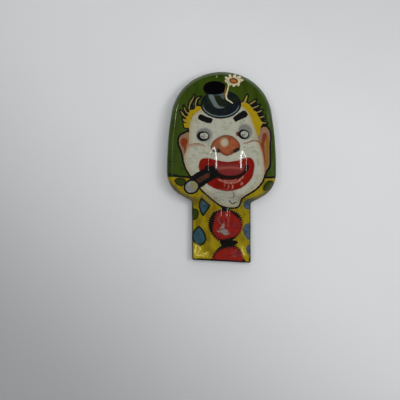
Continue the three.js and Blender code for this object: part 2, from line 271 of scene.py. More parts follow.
class ShellSkin:
    """The fine mesh of the stamping: outer skin, rim edge, inner skin and the two lugs."""

    WALL_ROWS = 4
    SHOULDER_ROWS = 8
    FACE_ROWS = 68
    INNER_SHOULDER_SKIP = 2
    INNER_FACE_SKIP = 6
    END_PULL = 0.45
    CORNER_PULL = 0.3
    LEAST_SLANT = 0.35
    SHOULDER_CHANGE = (-1.5, 5.0)
    SLOPE_SPAN = 0.02
    MAP_FAN = 0.3

    def __init__(self, pressing: Pressing, step: float) -> None:
        """Lays out the outline.

        Args:
            pressing: the stamping's sizes.
            step: spacing of the outline's points.
        """
        self.p = pressing
        self.edge, self.out = ShellOutline(pressing, step).loop()

    def _spine(self) -> Array:
        """Where each column ends on the centre line: level with its start, drawn in at both ends.

        Returns:
            the end's place along the centre line, for each column.
        """
        p, (x, y) = self.p, self.edge.T
        top, low = p.length / 2 - p.arcs[0][0], -p.length / 2 + p.handle_width / 2
        near_top = top + (y - top) * self.END_PULL
        from_side = p.handle_width / 2 - np.abs(x)
        near_low = low - (low - y) * self.END_PULL - from_side * self.CORNER_PULL
        return np.where(y > top, near_top, np.where(y < low, near_low, y))

    def outer(self) -> tuple[Array, Array]:
        """Outer skin: rows up the wall, a quarter round shoulder, then the face to the spine.

        Each face row lies a share of the way from the outline to the centre line, and its height
        is the pressing's less the shoulder's drop, s - sqrt(s^2 - (s - depth)^2).

        Returns:
            points (columns, rows, 3) and the depth in from the outline of each (columns, rows),
            negative down the wall.
        """
        p, n = self.p, len(self.edge)
        spine = self._spine()
        mirror = (n - np.arange(n)) % n
        spine = (spine + spine[mirror]) / 2
        ray = np.stack([-self.edge[:, 0], spine - self.edge[:, 1]], 1)
        reach = np.maximum(np.linalg.norm(ray, axis=1), 1e-6)
        ray /= reach[:, None]
        steep = np.maximum(self.LEAST_SLANT, -(ray * self.out).sum(1))
        start, span = self.SHOULDER_CHANGE
        on_head = smooth((self.edge[:, 1] - p.neck_mid - start) / span)
        shoulder = p.handle_shoulder + (p.head_shoulder - p.handle_shoulder) * on_head
        turn = np.linspace(0, math.pi / 2, self.SHOULDER_ROWS + 1)
        near = shoulder[:, None] * (1 - np.cos(turn))
        share = np.linspace(0, 1, self.FACE_ROWS + 1)[1:]
        far = shoulder[:, None] + (reach * steep - shoulder)[:, None] * share
        depth = np.concatenate([near, far], 1)
        xy = self.edge[:, None] + ray[:, None] * (depth / steep[:, None])[..., None]
        bend = shoulder[:, None]
        left = bend - np.minimum(depth, bend)
        drop = bend - np.sqrt(np.clip(bend**2 - left**2, 0, None))
        z = p.height(xy[..., 0], xy[..., 1]) - drop
        top = np.concatenate([xy, z[..., None]], 2)
        wall_z = z[:, :1] * np.linspace(0, 1, self.WALL_ROWS + 1)[:-1]
        wall = np.concatenate([np.repeat(self.edge[:, None], self.WALL_ROWS, 1), wall_z[..., None]], 2)
        depth = np.concatenate([wall_z - z[:, :1], depth], 1)
        return np.concatenate([wall, top], 1), depth

    def normals(self, skin: Array) -> Array:
        """Outward normals: the height's slope on the face, the grid's cross product elsewhere.

        Args:
            skin: points (columns, rows, 3).

        Returns:
            unit normals, the same shape.
        """
        along = np.roll(skin, -1, 0) - np.roll(skin, 1, 0)
        up = np.gradient(skin, axis=1)
        grid = np.cross(up, along)
        h, (x, y) = self.SLOPE_SPAN, (skin[..., 0], skin[..., 1])
        gx = (self.p.height(x + h, y) - self.p.height(x - h, y)) / (2 * h)
        gy = (self.p.height(x, y + h) - self.p.height(x, y - h)) / (2 * h)
        face = np.stack([-gx, -gy, np.ones_like(gx)], -1)
        first = self.WALL_ROWS + self.SHOULDER_ROWS
        both = np.concatenate([grid[:, :first], face[:, first:]], 1)
        both[:, 0] = np.concatenate([self.out, np.zeros((len(self.out), 1))], 1)
        return both / np.maximum(np.linalg.norm(both, axis=2, keepdims=True), 1e-9)

    def _map(self, points: Array, depth: Array, middle: Point) -> Array:
        """Bake map of a skin seen from above, with its wall fanned out past the outline.

        Args:
            points: the skin (columns, rows, 3).
            depth: the depth of each point, negative down the wall.
            middle: where the skin's origin lands on the map.

        Returns:
            map places (columns * rows, 2).
        """
        fan = self.out[:, None] * (np.clip(-depth, 0, None) * self.MAP_FAN)[..., None]
        return (points[..., :2] + fan).reshape(-1, 2) * MAP_SCALE + middle

    def surface(self) -> tuple[Surface, Array]:
        """The whole shell: outer skin, and an inner skin offset by the sheet along the normals.

        Returns:
            the surface, and a mask of its vertices that belong to the outer skin.
        """
        skin, depth = self.outer()
        n, rows = skin.shape[:2]
        face = self.WALL_ROWS + self.SHOULDER_ROWS
        shoulder_rows = np.arange(self.WALL_ROWS, face, self.INNER_SHOULDER_SKIP)
        face_rows = np.arange(face, rows, self.INNER_FACE_SKIP)
        keep = np.unique(np.concatenate([[0, 2], shoulder_rows, face_rows, [rows - 1]]))
        inner = (skin - self.normals(skin) * self.p.sheet)[:, keep]
        inner[:, 0, 2] = 0
        inner[:, -1, 0] = 0
        shared = np.minimum(np.arange(n), (n - np.arange(n)) % n)
        outer_id = np.arange(n * rows).reshape(n, rows)
        outer_id[:, -1] = outer_id[shared, -1]
        inner_id = n * rows + np.arange(n * len(keep)).reshape(n, len(keep))
        inner_id[:, -1] = inner_id[shared, -1]
        quads = np.concatenate([
            strip_quads(outer_id),
            strip_quads(inner_id)[:, ::-1],
            strip_quads(np.stack([inner_id[:, 0], outer_id[:, 0]], 1)),
        ])
        verts = np.concatenate([skin.reshape(-1, 3), inner.reshape(-1, 3)])
        is_outer = np.arange(len(verts)) < n * rows
        inner_depth = depth[:, keep]
        uv = np.concatenate([
            self._map(skin, depth, MAP_OUTSIDE), self._map(inner, inner_depth, MAP_INSIDE)
        ])
        values = {
            "inside": (~is_outer).astype(float),
            "depth": np.concatenate([depth.ravel(), inner_depth.ravel()]),
        }
        return Surface(verts, quads, values, uv), is_outer


# ------------------------------------------------------------------ the printed drawing


def curve(points: Sequence[Point], per: int = 8, closed: bool = True) -> Array:
    """A smooth line through points, as short straight pieces.

    Args:
        points: what it passes through, in millimetres.
        per: pieces between each two points.
        closed: whether it returns to its start.

    Returns:
        (m, 2) points of the Catmull-Rom spline.
    """
    p = np.array(points, float)
    if closed:
        before, after, beyond = np.roll(p, 1, 0), np.roll(p, -1, 0), np.roll(p, -2, 0)
    else:
        padded = np.concatenate([[2 * p[0] - p[1]], p, [2 * p[-1] - p[-2]]])
        before, p, after, beyond = padded[:-3], padded[1:-2], padded[2:-1], padded[3:]
    t = (np.arange(per) / per)[None, :, None]
    a, b, c, d = (q[:, None] for q in (before, p, after, beyond))
    square, cube = 2 * a - 5 * b + 4 * c - d, 3 * b - 3 * c + d - a
    line = 0.5 * (2 * b + (c - a) * t + square * t**2 + cube * t**3)
    line = line.reshape(-1, 2)
    return line if closed else np.concatenate([line, after[-1:]])


def ellipse(x: float, y: float, rx: float, ry: float, lean: float = 0.0, count: int = 64) -> Array:
    """A closed ellipse: rx cos a along and ry sin a across, turned by its lean.

    Args:
        x: middle, across the face.
        y: middle, along the face.
        rx: half its length.
        ry: half its breadth.
        lean: degrees it is turned by.
        count: points round it.

    Returns:
        (count, 2) points.
    """
    a = np.linspace(0, 2 * math.pi, count, endpoint=False)
    c, s = math.cos(math.radians(lean)), math.sin(math.radians(lean))
    u, v = rx * np.cos(a), ry * np.sin(a)
    return np.stack([x + u * c - v * s, y + u * s + v * c], 1)


def burst(x: float, y: float, rx: float, ry: float, points: int, depth: float, seed: float = 0.0) -> Array:
    """A ragged round: an ellipse whose radius swings in and out like a saw, unevenly.

    Args:
        x: middle, across the face.
        y: middle, along the face.
        rx: half its width at the bottom of the teeth.
        ry: half its height there.
        points: how many teeth.
        depth: how far a tooth reaches, as a share of the radius.
        seed: shifts where the teeth and their unevenness fall.

    Returns:
        (points * 10, 2) points.
    """
    a = np.linspace(0, 2 * math.pi, points * 10, endpoint=False)
    teeth = np.abs(((a * points / math.pi + seed) % 2) - 1)
    swing = 1 + depth * teeth * (1 + 0.5 * np.sin(3 * a + seed * 7))
    return np.stack([x + rx * swing * np.cos(a), y + ry * swing * np.sin(a)], 1)


FAR = 4.0
WORK_AT_ONCE = 4_000_000


def distance(at: Array, line: Array, closed: bool = True) -> Array:
    """Signed distance to a drawn shape: the least distance to its straight pieces.

    A place is inside when a line from it to one side crosses the edge an odd number of times.

    Args:
        at: (n, 2) places.
        line: (m, 2) points of the shape's edge.
        closed: whether it has an inside.

    Returns:
        millimetres to the edge, positive inside, never beyond FAR.
    """
    result = np.full(len(at), -FAR)
    low, high = line.min(0) - FAR, line.max(0) + FAR
    near = np.flatnonzero(((at > low) & (at < high)).all(1))
    start, end = (line, np.roll(line, -1, 0)) if closed else (line[:-1], line[1:])
    run = end - start
    square = np.maximum((run**2).sum(1), 1e-12)
    for part in np.array_split(near, max(1, len(near) * len(line) // WORK_AT_ONCE)):
        if not len(part):
            continue
        away = at[part, None] - start
        t = np.clip((away * run).sum(2) / square, 0, 1)
        gap = np.sqrt(((away - run * t[..., None]) ** 2).sum(2).min(1))
        if closed:
            y = at[part, 1][:, None]
            spans = (start[:, 1] <= y) != (end[:, 1] <= y)
            slope = np.where(run[:, 1] == 0, 1, run[:, 1])
            cross = start[:, 0] + (y - start[:, 1]) * run[:, 0] / slope
            inside = (spans & (at[part, 0][:, None] < cross)).sum(1) % 2 == 1
            gap = np.where(inside, gap, -gap)
        else:
            gap = -gap
        result[part] = np.maximum(gap, -FAR)
    return np.minimum(result, FAR)


def union(*fields: Array) -> Array:
    """Distance into any of several shapes: the largest of theirs.

    Args:
        fields: their signed distances.

    Returns:
        the joined shape's signed distance.
    """
    return np.maximum.reduce(fields)


class Clown:
    """The drawing, one signed-distance field per ink or ink edge; a few place painted highlights."""

    STRETCH = 0.9931
    SHIFT = (-0.07, 0.30)

    def __init__(self, at: Array) -> None:
        """Takes the places to draw at.

        Args:
            at: (n, 2) places on the stamping, carried into the drawing's own millimetres.
        """
        self.at = at * self.STRETCH + self.SHIFT

    def _shape(self, points: Sequence[Point], per: int = 8) -> Array:
        """A filled shape with a smooth edge through the points, so many pieces between each two."""
        return distance(self.at, curve(points, per))

    def _sharp(self, points: Sequence[Point]) -> Array:
        """A filled shape with straight edges."""
        return distance(self.at, np.array(points, float))

    def _oval(self, x: float, y: float, rx: float, ry: float, lean: float = 0.0, count: int = 64) -> Array:
        """A filled ellipse."""
        return distance(self.at, ellipse(x, y, rx, ry, lean, count))

    def _stroke(self, points: Sequence[Point], width: float, taper: float = 0.0) -> Array:
        """A pen line: half width w (1 - taper s^2), s running from -1 to 1 along it.

        Args:
            points: what it passes through.
            width: across its middle.
            taper: how much thinner both ends are, as a share.

        Returns:
            its signed distance.
        """
        line = curve(points, 6, closed=False)
        if not taper:
            return distance(self.at, line, closed=False) + width / 2
        share = np.linspace(-1, 1, len(line))
        run = np.gradient(line, axis=0)
        side = np.stack([-run[:, 1], run[:, 0]], 1) / np.maximum(np.linalg.norm(run, axis=1), 1e-9)[:, None]
        half = width / 2 * (1 - taper * np.abs(share) ** 2)[:, None]
        return distance(self.at, np.concatenate([line + side * half, (line - side * half)[::-1]]))

    def fields(self) -> dict[str, Array]:
        """Draws everything.

        Returns:
            every field of the drawing, by name.
        """
        parts = (
            self._ground, self._hair, self._head, self._ears, self._eyes, self._nose,
            self._mouth, self._cigar, self._hat, self._suit, self._glitter,
        )
        made: dict[str, Array] = {}
        for part in parts:
            made.update(part())
        LOG.info("drawing: %d fields at %d places", len(made), len(self.at))
        return made

    def _ground(self) -> dict[str, Array]:
        """The collar's edge, and the spots, seams, diamonds and fold on the suit.

        Returns:
            their fields, by name.
        """
        x, y = self.at.T
        collar = -4.0 + 0.35 * np.sin(x * 0.15 + 0.6) - y
        spots = union(
            self._shape([
                (-21.3, -5.8), (-20.4, -4.9), (-18.6, -4.7), (-16.9, -5.3), (-16.4, -6.5),
                (-17.9, -7.9), (-19.9, -7.4),
            ]),
            self._shape([
                (19.0, -9.8), (19.4, -7.6), (21.0, -6.0), (23.0, -6.2), (23.4, -7.9), (21.4, -9.8),
            ]),
            self._shape([
                (-14.2, -18.7), (-12.6, -18.6), (-11.2, -19.1), (-10.7, -20.4), (-11.1, -22.3),
                (-12.2, -23.2), (-14.2, -23.3),
            ]),
        )
        seams = union(
            self._stroke([(-24.2, -2.9), (-22.6, -3.2), (-20.6, -3.5), (-18.1, -3.9), (-13.0, -4.3)], 0.75),
            self._stroke([(18.8, -4.2), (21.4, -4.3), (24.4, -4.0)], 0.8),
            self._stroke([(-24.2, 3.1), (-22.3, 2.9), (-19.6, 3.3)], 0.12, 0.6),
        )
        diamonds = union(
            self._sharp([
                (-9.2, -13.7), (-7.3, -15.3), (-5.4, -17.1), (-6.9, -19.4), (-8.4, -21.5),
                (-9.6, -19.8), (-10.1, -17.4), (-9.9, -15.2),
            ]),
            self._sharp([
                (-10.3, -26.6), (-8.7, -28.4), (-7.5, -30.9), (-7.2, -32.6), (-8.2, -34.4),
                (-9.8, -35.2), (-11.8, -34.4), (-13.1, -32.6), (-13.3, -30.1), (-12.2, -28.2),
            ]),
        )
        lozenges = union(
            self._sharp([
                (14.8, -13.9), (11.8, -14.2), (10.4, -15.5), (10.1, -17.0), (10.9, -18.4),
                (14.8, -18.9),
            ]),
            self._sharp([
                (14.8, -24.9), (12.3, -25.3), (10.7, -25.9), (9.8, -28.3), (10.6, -30.4), (12.0, -32.4),
                (14.8, -33.4),
            ]),
            self._sharp([(14.8, -34.8), (12.4, -35.2), (11.4, -36.6), (11.9, -38.9), (14.8, -40.2)]),
        )
        fold = self._stroke([(-11.0, -13.6), (-10.9, -16.0), (-11.0, -18.6)], 0.7, 0.6)
        return {
            "fold": fold, "lozenges": lozenges, "collar": np.clip(collar, -FAR, FAR), "spots": spots,
            "seams": seams, "diamonds": diamonds,
        }

    def _hair(self) -> dict[str, Array]:
        """Two tufts, their loose locks and the dark strands combed through them.

        Returns:
            their fields, by name.
        """
        hair = union(
            self._sharp([
                (-14.9, 18.0), (-16.9, 18.3), (-17.3, 20.2), (-16.8, 21.6), (-17.2, 22.6),
                (-15.9, 23.4), (-15.2, 24.8), (-14.7, 26.3), (-13.4, 26.2), (-12.2, 26.6),
                (-11.9, 27.6), (-11.0, 28.0), (-9.6, 27.6), (-8.3, 27.3), (-8.6, 25.6), (-12.1, 24.6),
                (-13.7, 22.5), (-14.5, 20.3),
            ]),
            self._sharp([
                (7.4, 28.6), (8.6, 29.3), (9.8, 30.0), (10.8, 29.6), (12.2, 28.8), (13.2, 27.6),
                (14.2, 26.4), (15.4, 25.4), (16.4, 23.6), (17.3, 22.0), (18.4, 20.6), (18.2, 19.2),
                (17.4, 17.6), (17.0, 15.8), (16.3, 14.0), (15.2, 16.6), (14.0, 19.9), (12.5, 23.6),
                (10.9, 26.0), (7.4, 26.8),
            ]),
        )
        locks = union(
            self._stroke(
                [(-14.6, 25.2), (-14.8, 27.4), (-14.2, 29.4), (-13.2, 31.2), (-12.3, 33.1)], 0.62, 0.85
            ),
            self._stroke(
                [(-11.6, 26.4), (-11.9, 28.6), (-11.7, 30.2), (-10.9, 31.5), (-9.6, 32.2)], 0.62, 0.85
            ),
            self._stroke([(-14.6, 24.2), (-15.8, 25.0), (-16.7, 26.3), (-17.3, 28.1)], 0.66, 0.85),
            self._stroke([(-15.4, 22.6), (-17.0, 23.6), (-17.9, 24.7), (-18.8, 26.1)], 0.66, 0.85),
            self._stroke([(-15.6, 20.6), (-17.0, 21.4), (-17.8, 22.5)], 0.6, 0.8),
            self._stroke([(9.2, 28.4), (10.5, 30.3), (11.5, 33.1)], 1.0, 0.85),
            self._stroke([(11.6, 28.3), (13.6, 29.4), (15.6, 30.8)], 0.62, 0.85),
            self._stroke([(13.2, 26.9), (15.2, 27.5), (17.1, 28.5)], 0.62, 0.85),
            self._stroke([(14.8, 24.9), (16.6, 25.3), (18.4, 26.2)], 0.62, 0.85),
            self._stroke([(16.4, 22.7), (18.0, 23.0), (19.6, 23.5)], 0.62, 0.85),
            self._stroke([(17.2, 20.3), (19.0, 20.4), (20.7, 20.2)], 0.62, 0.85),
        )
        strands = union(
            self._stroke([(-13.4, 30.4), (-13.7, 28.6), (-13.1, 27.0), (-12.6, 26.7)], 1.25, 0.75),
            self._stroke([(-15.7, 26.7), (-15.4, 25.9), (-14.5, 25.1)], 0.95, 0.7),
            self._stroke([(-17.4, 25.4), (-16.4, 24.3), (-15.0, 23.6)], 1.0, 0.7),
            self._stroke([(-18.1, 23.4), (-17.0, 22.6), (-15.8, 22.1)], 0.75, 0.7),
            self._stroke([(-17.9, 20.9), (-17.0, 20.6), (-15.8, 20.2)], 0.6, 0.7),
            self._stroke(
                [(-9.6, 31.4), (-10.7, 30.7), (-11.0, 29.4), (-10.4, 28.5), (-9.0, 28.2)], 0.8, 0.3
            ),
            self._stroke([(12.9, 28.1), (14.4, 28.5), (16.1, 29.5)], 1.0, 0.5),
            self._stroke([(14.2, 26.1), (15.8, 26.5), (17.5, 27.3)], 1.1, 0.5),
            self._stroke([(16.2, 23.9), (17.8, 24.3), (19.0, 25.1)], 1.0, 0.5),
            self._stroke([(17.4, 21.6), (18.8, 21.8), (20.2, 22.2)], 0.9, 0.5),
            self._stroke([(17.6, 18.0), (18.6, 19.4), (20.4, 19.6)], 0.9, 0.4),
        )
        return {"hair": hair, "locks": locks, "strands": strands}

    def _head(self) -> dict[str, Array]:
        """The white face with its creases, blush, shading and flecks.

        Returns:
            their fields, by name.
        """
        face = self._shape(
            [
                (-4.0, 27.5), (-8.5, 26.9), (-12.1, 24.6), (-13.7, 22.5), (-14.6, 20.1), (-14.9, 15.8),
                (-15.0, 11.7), (-16.2, 7.8), (-17.2, 4.6), (-16.7, 1.2), (-15.6, -1.2), (-13.6, -4.1),
                (-9.5, -9.3), (-5.8, -12.7), (-1.9, -15.8), (0.8, -17.3), (4.1, -17.9), (7.0, -17.6),
                (8.2, -16.2), (9.0, -13.6), (11.9, -11.6), (15.2, -9.5), (17.4, -7.2), (18.8, -4.6),
                (19.3, -1.3), (19.3, 3.6), (18.3, 7.8), (17.0, 11.2), (16.0, 14.5), (15.2, 16.9),
                (14.2, 19.9), (12.8, 23.6), (11.0, 26.2), (8.4, 27.8),
            ],
            5,
        )
        cheeks = union(
            self._stroke(
                [(-14.9, 10.3), (-13.4, 10.7), (-11.5, 10.9), (-9.7, 10.7), (-8.0, 10.0), (-6.0, 8.9)],
                0.42,
                0.7,
            ),
            self._stroke(
                [
                    (9.5, 11.0), (11.6, 11.4), (13.7, 12.2), (15.7, 12.2), (17.1, 11.3), (18.2, 8.6),
                    (19.0, 5.4), (19.3, 0.8),
                ],
                0.75,
                0.4,
            ),
        )
        blush = union(
            self._stroke(
                [(-16.2, 8.4), (-15.4, 9.8), (-13.6, 10.4), (-11.5, 10.4), (-9.7, 10.2), (-7.6, 9.6)],
                1.3,
                0.6,
            ),
            self._stroke([(17.2, 10.6), (18.4, 8.0), (19.1, 5.0), (19.5, 1.4), (19.6, -1.0)], 1.5, 0.5),
        )
        shade = union(
            self._stroke([(-14.4, 8.9), (-13.4, 9.6), (-12.0, 9.3), (-11.2, 8.2)], 0.8, 0.6),
            self._stroke([(-10.2, 6.6), (-7.6, 6.7), (-5.2, 6.1), (-3.4, 6.1)], 0.7, 0.7),
            self._stroke([(12.2, 7.4), (14.4, 7.6), (16.0, 6.6), (16.4, 4.2), (16.2, 1.0)], 1.0, 0.6),
            self._stroke([(16.0, -3.4), (15.2, -6.4), (13.0, -9.2), (10.4, -11.2)], 1.2, 0.6),
            self._stroke([(-2.6, -12.6), (-1.8, -13.8), (-0.9, -14.9)], 0.8, 0.6),
            self._stroke([(5.2, -10.8), (5.4, -12.6), (5.2, -14.2)], 0.5, 0.6),
            self._stroke([(-4.6, 12.6), (-6.0, 10.8), (-5.6, 8.4)], 0.6, 0.6),
            self._stroke([(-11.6, 22.6), (-11.4, 20.8), (-10.2, 20.2)], 1.1, 0.5),
        )
        stubble = union(*(self._oval(x, y, a, b, lean, 10) for x, y, a, b, lean in self._flecks()))
        return {"face": face, "cheeks": cheeks, "blush": blush, "shade": shade, "stubble": stubble}

    def _ears(self) -> dict[str, Array]:
        """Both ears with their red hollows, and the gold edge of one.

        Returns:
            their fields, by name.
        """
        ears = union(
            self._shape([
                (-14.6, 15.9), (-17.3, 15.4), (-18.9, 14.3), (-19.5, 12.5), (-19.1, 10.0), (-18.2, 7.8),
                (-17.6, 5.5), (-17.0, 2.4), (-15.2, 5.9), (-14.4, 10.0),
            ]),
            self._shape([
                (15.6, 14.0), (17.0, 16.4), (17.9, 18.2), (19.9, 18.6), (21.4, 16.8), (21.8, 14.1),
                (21.5, 10.0), (21.6, 4.0), (21.3, 0.7), (20.0, -1.2), (19.0, -3.6), (17.6, -0.1),
                (17.4, 6.0), (16.0, 10.5),
            ]),
        )
        ear_red = union(
            self._shape([
                (-18.7, 12.4), (-17.5, 13.6), (-15.9, 13.2), (-15.4, 11.7), (-16.2, 10.0), (-15.9, 7.5),
                (-16.6, 6.5), (-17.2, 8.8), (-18.4, 10.4),
            ]),
            self._shape([
                (17.9, 11.7), (18.2, 14.5), (19.1, 15.9), (20.2, 15.6), (20.4, 14.1), (19.5, 12.1),
                (19.1, 10.0), (19.6, 5.9), (19.9, 2.2), (18.9, 4.4), (18.2, 8.6), (17.5, 10.6),
            ]),
        )
        ear_gold = self._shape([
            (20.2, 13.6), (21.2, 13.4), (21.2, 8.0), (21.1, 2.4), (20.4, 0.2), (19.7, 1.4), (20.0, 5.0),
            (19.6, 9.5),
        ])
        return {"ears": ears, "ear_red": ear_red, "ear_gold": ear_gold}

    def _flecks(self) -> list[tuple[float, float, float, float, float]]:
        """Small dark flecks scattered in patches: chin, upper lip, cheeks and forehead.

        Returns:
            each fleck's middle, half length, half breadth and lean.
        """
        rng = np.random.default_rng(11)
        size_mid, size_swing, breadth_mid, breadth_swing = 0.17, 0.09, 0.13, 0.05
        patches = (
            (1.5, -13.6, 5.6, 2.6, 34), (12.6, 6.6, 3.6, 4.6, 12), (-13.0, 2.0, 2.4, 5.4, 12),
            (3.0, 19.0, 9.0, 3.0, 12), (14.6, -5.6, 2.6, 5.2, 10), (-11.6, 6.6, 3.6, 2.4, 7),
        )
        made = []
        for x, y, a, b, count in patches:
            for u, v, size, lean in rng.uniform(-1, 1, (count, 4)):
                length, breadth = size_mid + size_swing * size, breadth_mid + breadth_swing * size
                made.append((x + a * u, y + b * v, length, breadth, 90 * lean))
        return made

    def _eyes(self) -> dict[str, Array]:
        """Brows, dark rings, whites, irises, pupils, glints and the shaded lids.

        Returns:
            their fields, by name.
        """
        brows = union(
            self._sharp([
                (-10.9, 23.1), (-10.3, 23.9), (-9.3, 24.3), (-7.9, 23.5), (-6.8, 23.0), (-4.4, 22.4),
                (-4.2, 21.6), (-4.9, 20.0), (-6.6, 20.2), (-8.9, 21.0), (-10.7, 21.9),
            ]),
            self._sharp([
                (4.9, 22.5), (6.2, 23.6), (7.9, 24.9), (9.4, 25.8), (10.6, 25.8), (11.2, 25.1),
                (11.8, 24.1), (11.0, 22.9), (9.0, 22.1), (7.4, 21.2), (6.2, 20.6), (5.5, 21.4),
            ]),
        )
        rings = union(self._oval(-8.5, 14.3, 2.75, 2.15, -4), self._oval(9.8, 15.1, 2.45, 2.15, -8))
        whites = union(self._oval(-7.9, 14.4, 1.75, 1.35, -6), self._oval(10.25, 15.2, 1.6, 1.45, -8))
        irises = union(self._oval(-8.95, 14.5, 0.9, 1.1), self._oval(9.3, 15.3, 0.8, 1.05))
        pupils = union(
            self._stroke([(-8.6, 15.4), (-8.1, 14.9), (-8.1, 14.1), (-8.6, 13.4)], 0.42, 0.5),
            self._stroke([(9.5, 16.3), (10.1, 15.7), (10.1, 14.9), (9.6, 14.2)], 0.42, 0.5),
            self._oval(-9.1, 14.2, 0.35, 0.42),
            self._oval(9.2, 14.9, 0.33, 0.42),
        )
        glints = union(self._oval(-9.2, 15.0, 0.42, 0.36), self._oval(9.0, 15.8, 0.4, 0.34))
        lids = union(self._oval(-8.0, 14.8, 3.7, 3.3), self._oval(10.5, 16.3, 3.3, 3.7, 20))
        corner = self._oval(7.0, 15.3, 0.75, 0.95)
        return {
            "brows": brows, "rings": rings, "whites": whites, "irises": irises, "pupils": pupils,
            "glints": glints, "lids": lids, "corner": corner,
        }

    def _nose(self) -> dict[str, Array]:
        """The round nose with its nostrils, glint and lighter wing.

        Returns:
            their fields, by name.
        """
        nose = self._shape([
            (-5.0, 9.6), (-4.0, 11.7), (-2.1, 13.3), (0.1, 14.4), (2.5, 14.7), (5.0, 13.9), (7.0, 12.1),
            (8.0, 10.2), (7.7, 8.4), (6.0, 7.1), (4.4, 6.1), (2.5, 5.4), (0.7, 5.8), (-0.7, 6.7),
            (-2.8, 7.0), (-4.5, 7.9),
        ])
        nostrils = union(
            self._shape([(-4.0, 7.9), (-2.8, 8.5), (-1.4, 8.5), (-0.7, 7.6), (-1.6, 6.9), (-3.2, 7.0)]),
            self._shape([(4.9, 7.6), (5.9, 8.5), (7.2, 9.0), (8.0, 8.4), (7.0, 7.3), (5.6, 6.9)]),
        )
        glint = self._oval(1.1, 11.4, 1.9, 2.1)
        wing = union(self._oval(-3.0, 8.9, 1.7, 1.9, 20), self._oval(0.6, 13.5, 2.2, 0.7, 0))
        return {"wing": wing, "nose": nose, "nostrils": nostrils, "nose_glint": glint}

    def _mouth(self) -> dict[str, Array]:
        """Lips, the opening with its dark corners, the gum with its sheen, and the painted highlight along
        the lower lip.

        Returns:
            their fields, by name.
        """
        lips = self._shape(
            [
                (-10.4, -0.2), (-10.3, 1.9), (-9.5, 3.7), (-7.4, 4.4), (-5.0, 4.1), (-1.7, 3.2),
                (2.4, 2.6), (6.4, 3.1), (9.3, 4.0), (12.0, 4.6), (13.8, 3.9), (14.6, 1.5), (14.4, -1.4),
                (13.5, -4.3), (11.3, -7.1), (8.5, -9.1), (4.8, -10.2), (1.5, -10.4), (-1.7, -9.7),
                (-5.0, -8.4), (-7.4, -6.3), (-9.4, -3.0),
            ],
            6,
        )
        opening = self._shape(
            [
                (-7.8, 0.9), (-5.8, 0.7), (-3.4, 1.2), (-0.1, 1.6), (3.2, 1.8), (6.9, 1.5), (9.7, 1.0),
                (11.2, 1.2), (12.2, 0.8), (11.8, -0.9), (10.2, -2.8), (8.5, -4.3), (5.6, -5.1),
                (2.4, -5.3), (-0.5, -5.0), (-2.9, -3.9), (-5.0, -2.7), (-6.8, -1.2),
            ],
            6,
        )
        gum = self._shape(
            [
                (-3.4, 1.1), (-0.1, 1.7), (3.2, 1.9), (6.9, 1.6), (10.2, 1.1), (10.0, -0.8),
                (8.1, -2.6), (4.8, -3.4), (1.5, -3.3), (-1.0, -2.2), (-2.8, -0.8),
            ],
            6,
        )
        sheen = self._shape(
            [
                (-1.6, 0.2), (1.6, 0.5), (5.0, 0.5), (8.4, 0.0), (8.6, -0.7), (5.0, -0.4), (1.6, -0.5),
                (-1.4, -0.7),
            ],
            6,
        )
        # painted highlight: the lamps' reflection along the lower lip
        lip_glow = union(
            self._stroke(
                [
                    (-1.6, -5.2), (0.4, -6.2), (2.6, -6.8), (4.8, -6.8), (6.9, -6.2), (8.6, -5.0),
                    (9.8, -3.6),
                ],
                0.7,
                0.5,
            ),
            self._stroke([(0.6, -5.5), (2.6, -6.0), (5.0, -5.8), (6.6, -5.2)], 0.35, 0.7),
            self._stroke([(2.9, -7.4), (3.0, -8.6), (2.4, -9.6)], 0.35, 0.7),
            self._stroke([(4.6, -7.6), (4.9, -8.6), (4.4, -9.6)], 0.35, 0.7),
            self._stroke([(1.0, -7.2), (1.3, -8.4)], 0.3, 0.5),
            self._oval(8.9, -7.0, 0.65, 0.5, 40),
        )
        corners = union(
            self._shape([(-7.7, 0.8), (-7.1, 1.2), (-6.2, 0.9), (-5.4, 0.3), (-6.0, -0.5), (-7.2, 0.0)]),
            self._shape([
                (10.4, 0.7), (11.2, 1.3), (11.9, 0.9), (11.6, -0.8), (10.6, -2.2), (9.9, -1.8),
                (10.3, -0.4),
            ]),
        )
        return {
            "corners": corners, "lips": lips, "opening": opening, "gum": gum, "sheen": sheen,
            "lip_glow": lip_glow,
        }

    def _cigar(self) -> dict[str, Array]:
        """The cigar, its lit brown core and its ash.

        Returns:
            their fields, by name.
        """
        cigar = self._shape([
            (-13.9, -5.0), (-12.6, -3.7), (-10.3, -2.2), (-7.0, -0.5), (-5.0, 0.2), (-3.3, -0.4),
            (-2.3, -2.2), (-2.6, -3.8), (-5.0, -5.1), (-7.4, -6.7), (-9.6, -8.2), (-11.5, -8.4),
        ])
        core = self._shape([
            (-12.0, -5.8), (-10.2, -4.4), (-8.2, -3.2), (-6.8, -2.5), (-5.8, -2.7), (-5.6, -3.9),
            (-6.8, -4.9), (-8.6, -5.8), (-10.3, -6.9),
        ])
        warm = self._shape([
            (-8.6, -4.0), (-7.4, -3.1), (-6.4, -2.7), (-5.9, -3.2), (-6.4, -4.3), (-7.6, -4.8),
        ])
        ash = self._oval(-13.7, -8.5, 2.95, 2.65, 25)
        ash_glow = self._oval(-12.5, -7.7, 1.3, 2.0, 15)
        return {"cigar": cigar, "core": core, "cigar_warm": warm, "ash": ash, "ash_glow": ash_glow}

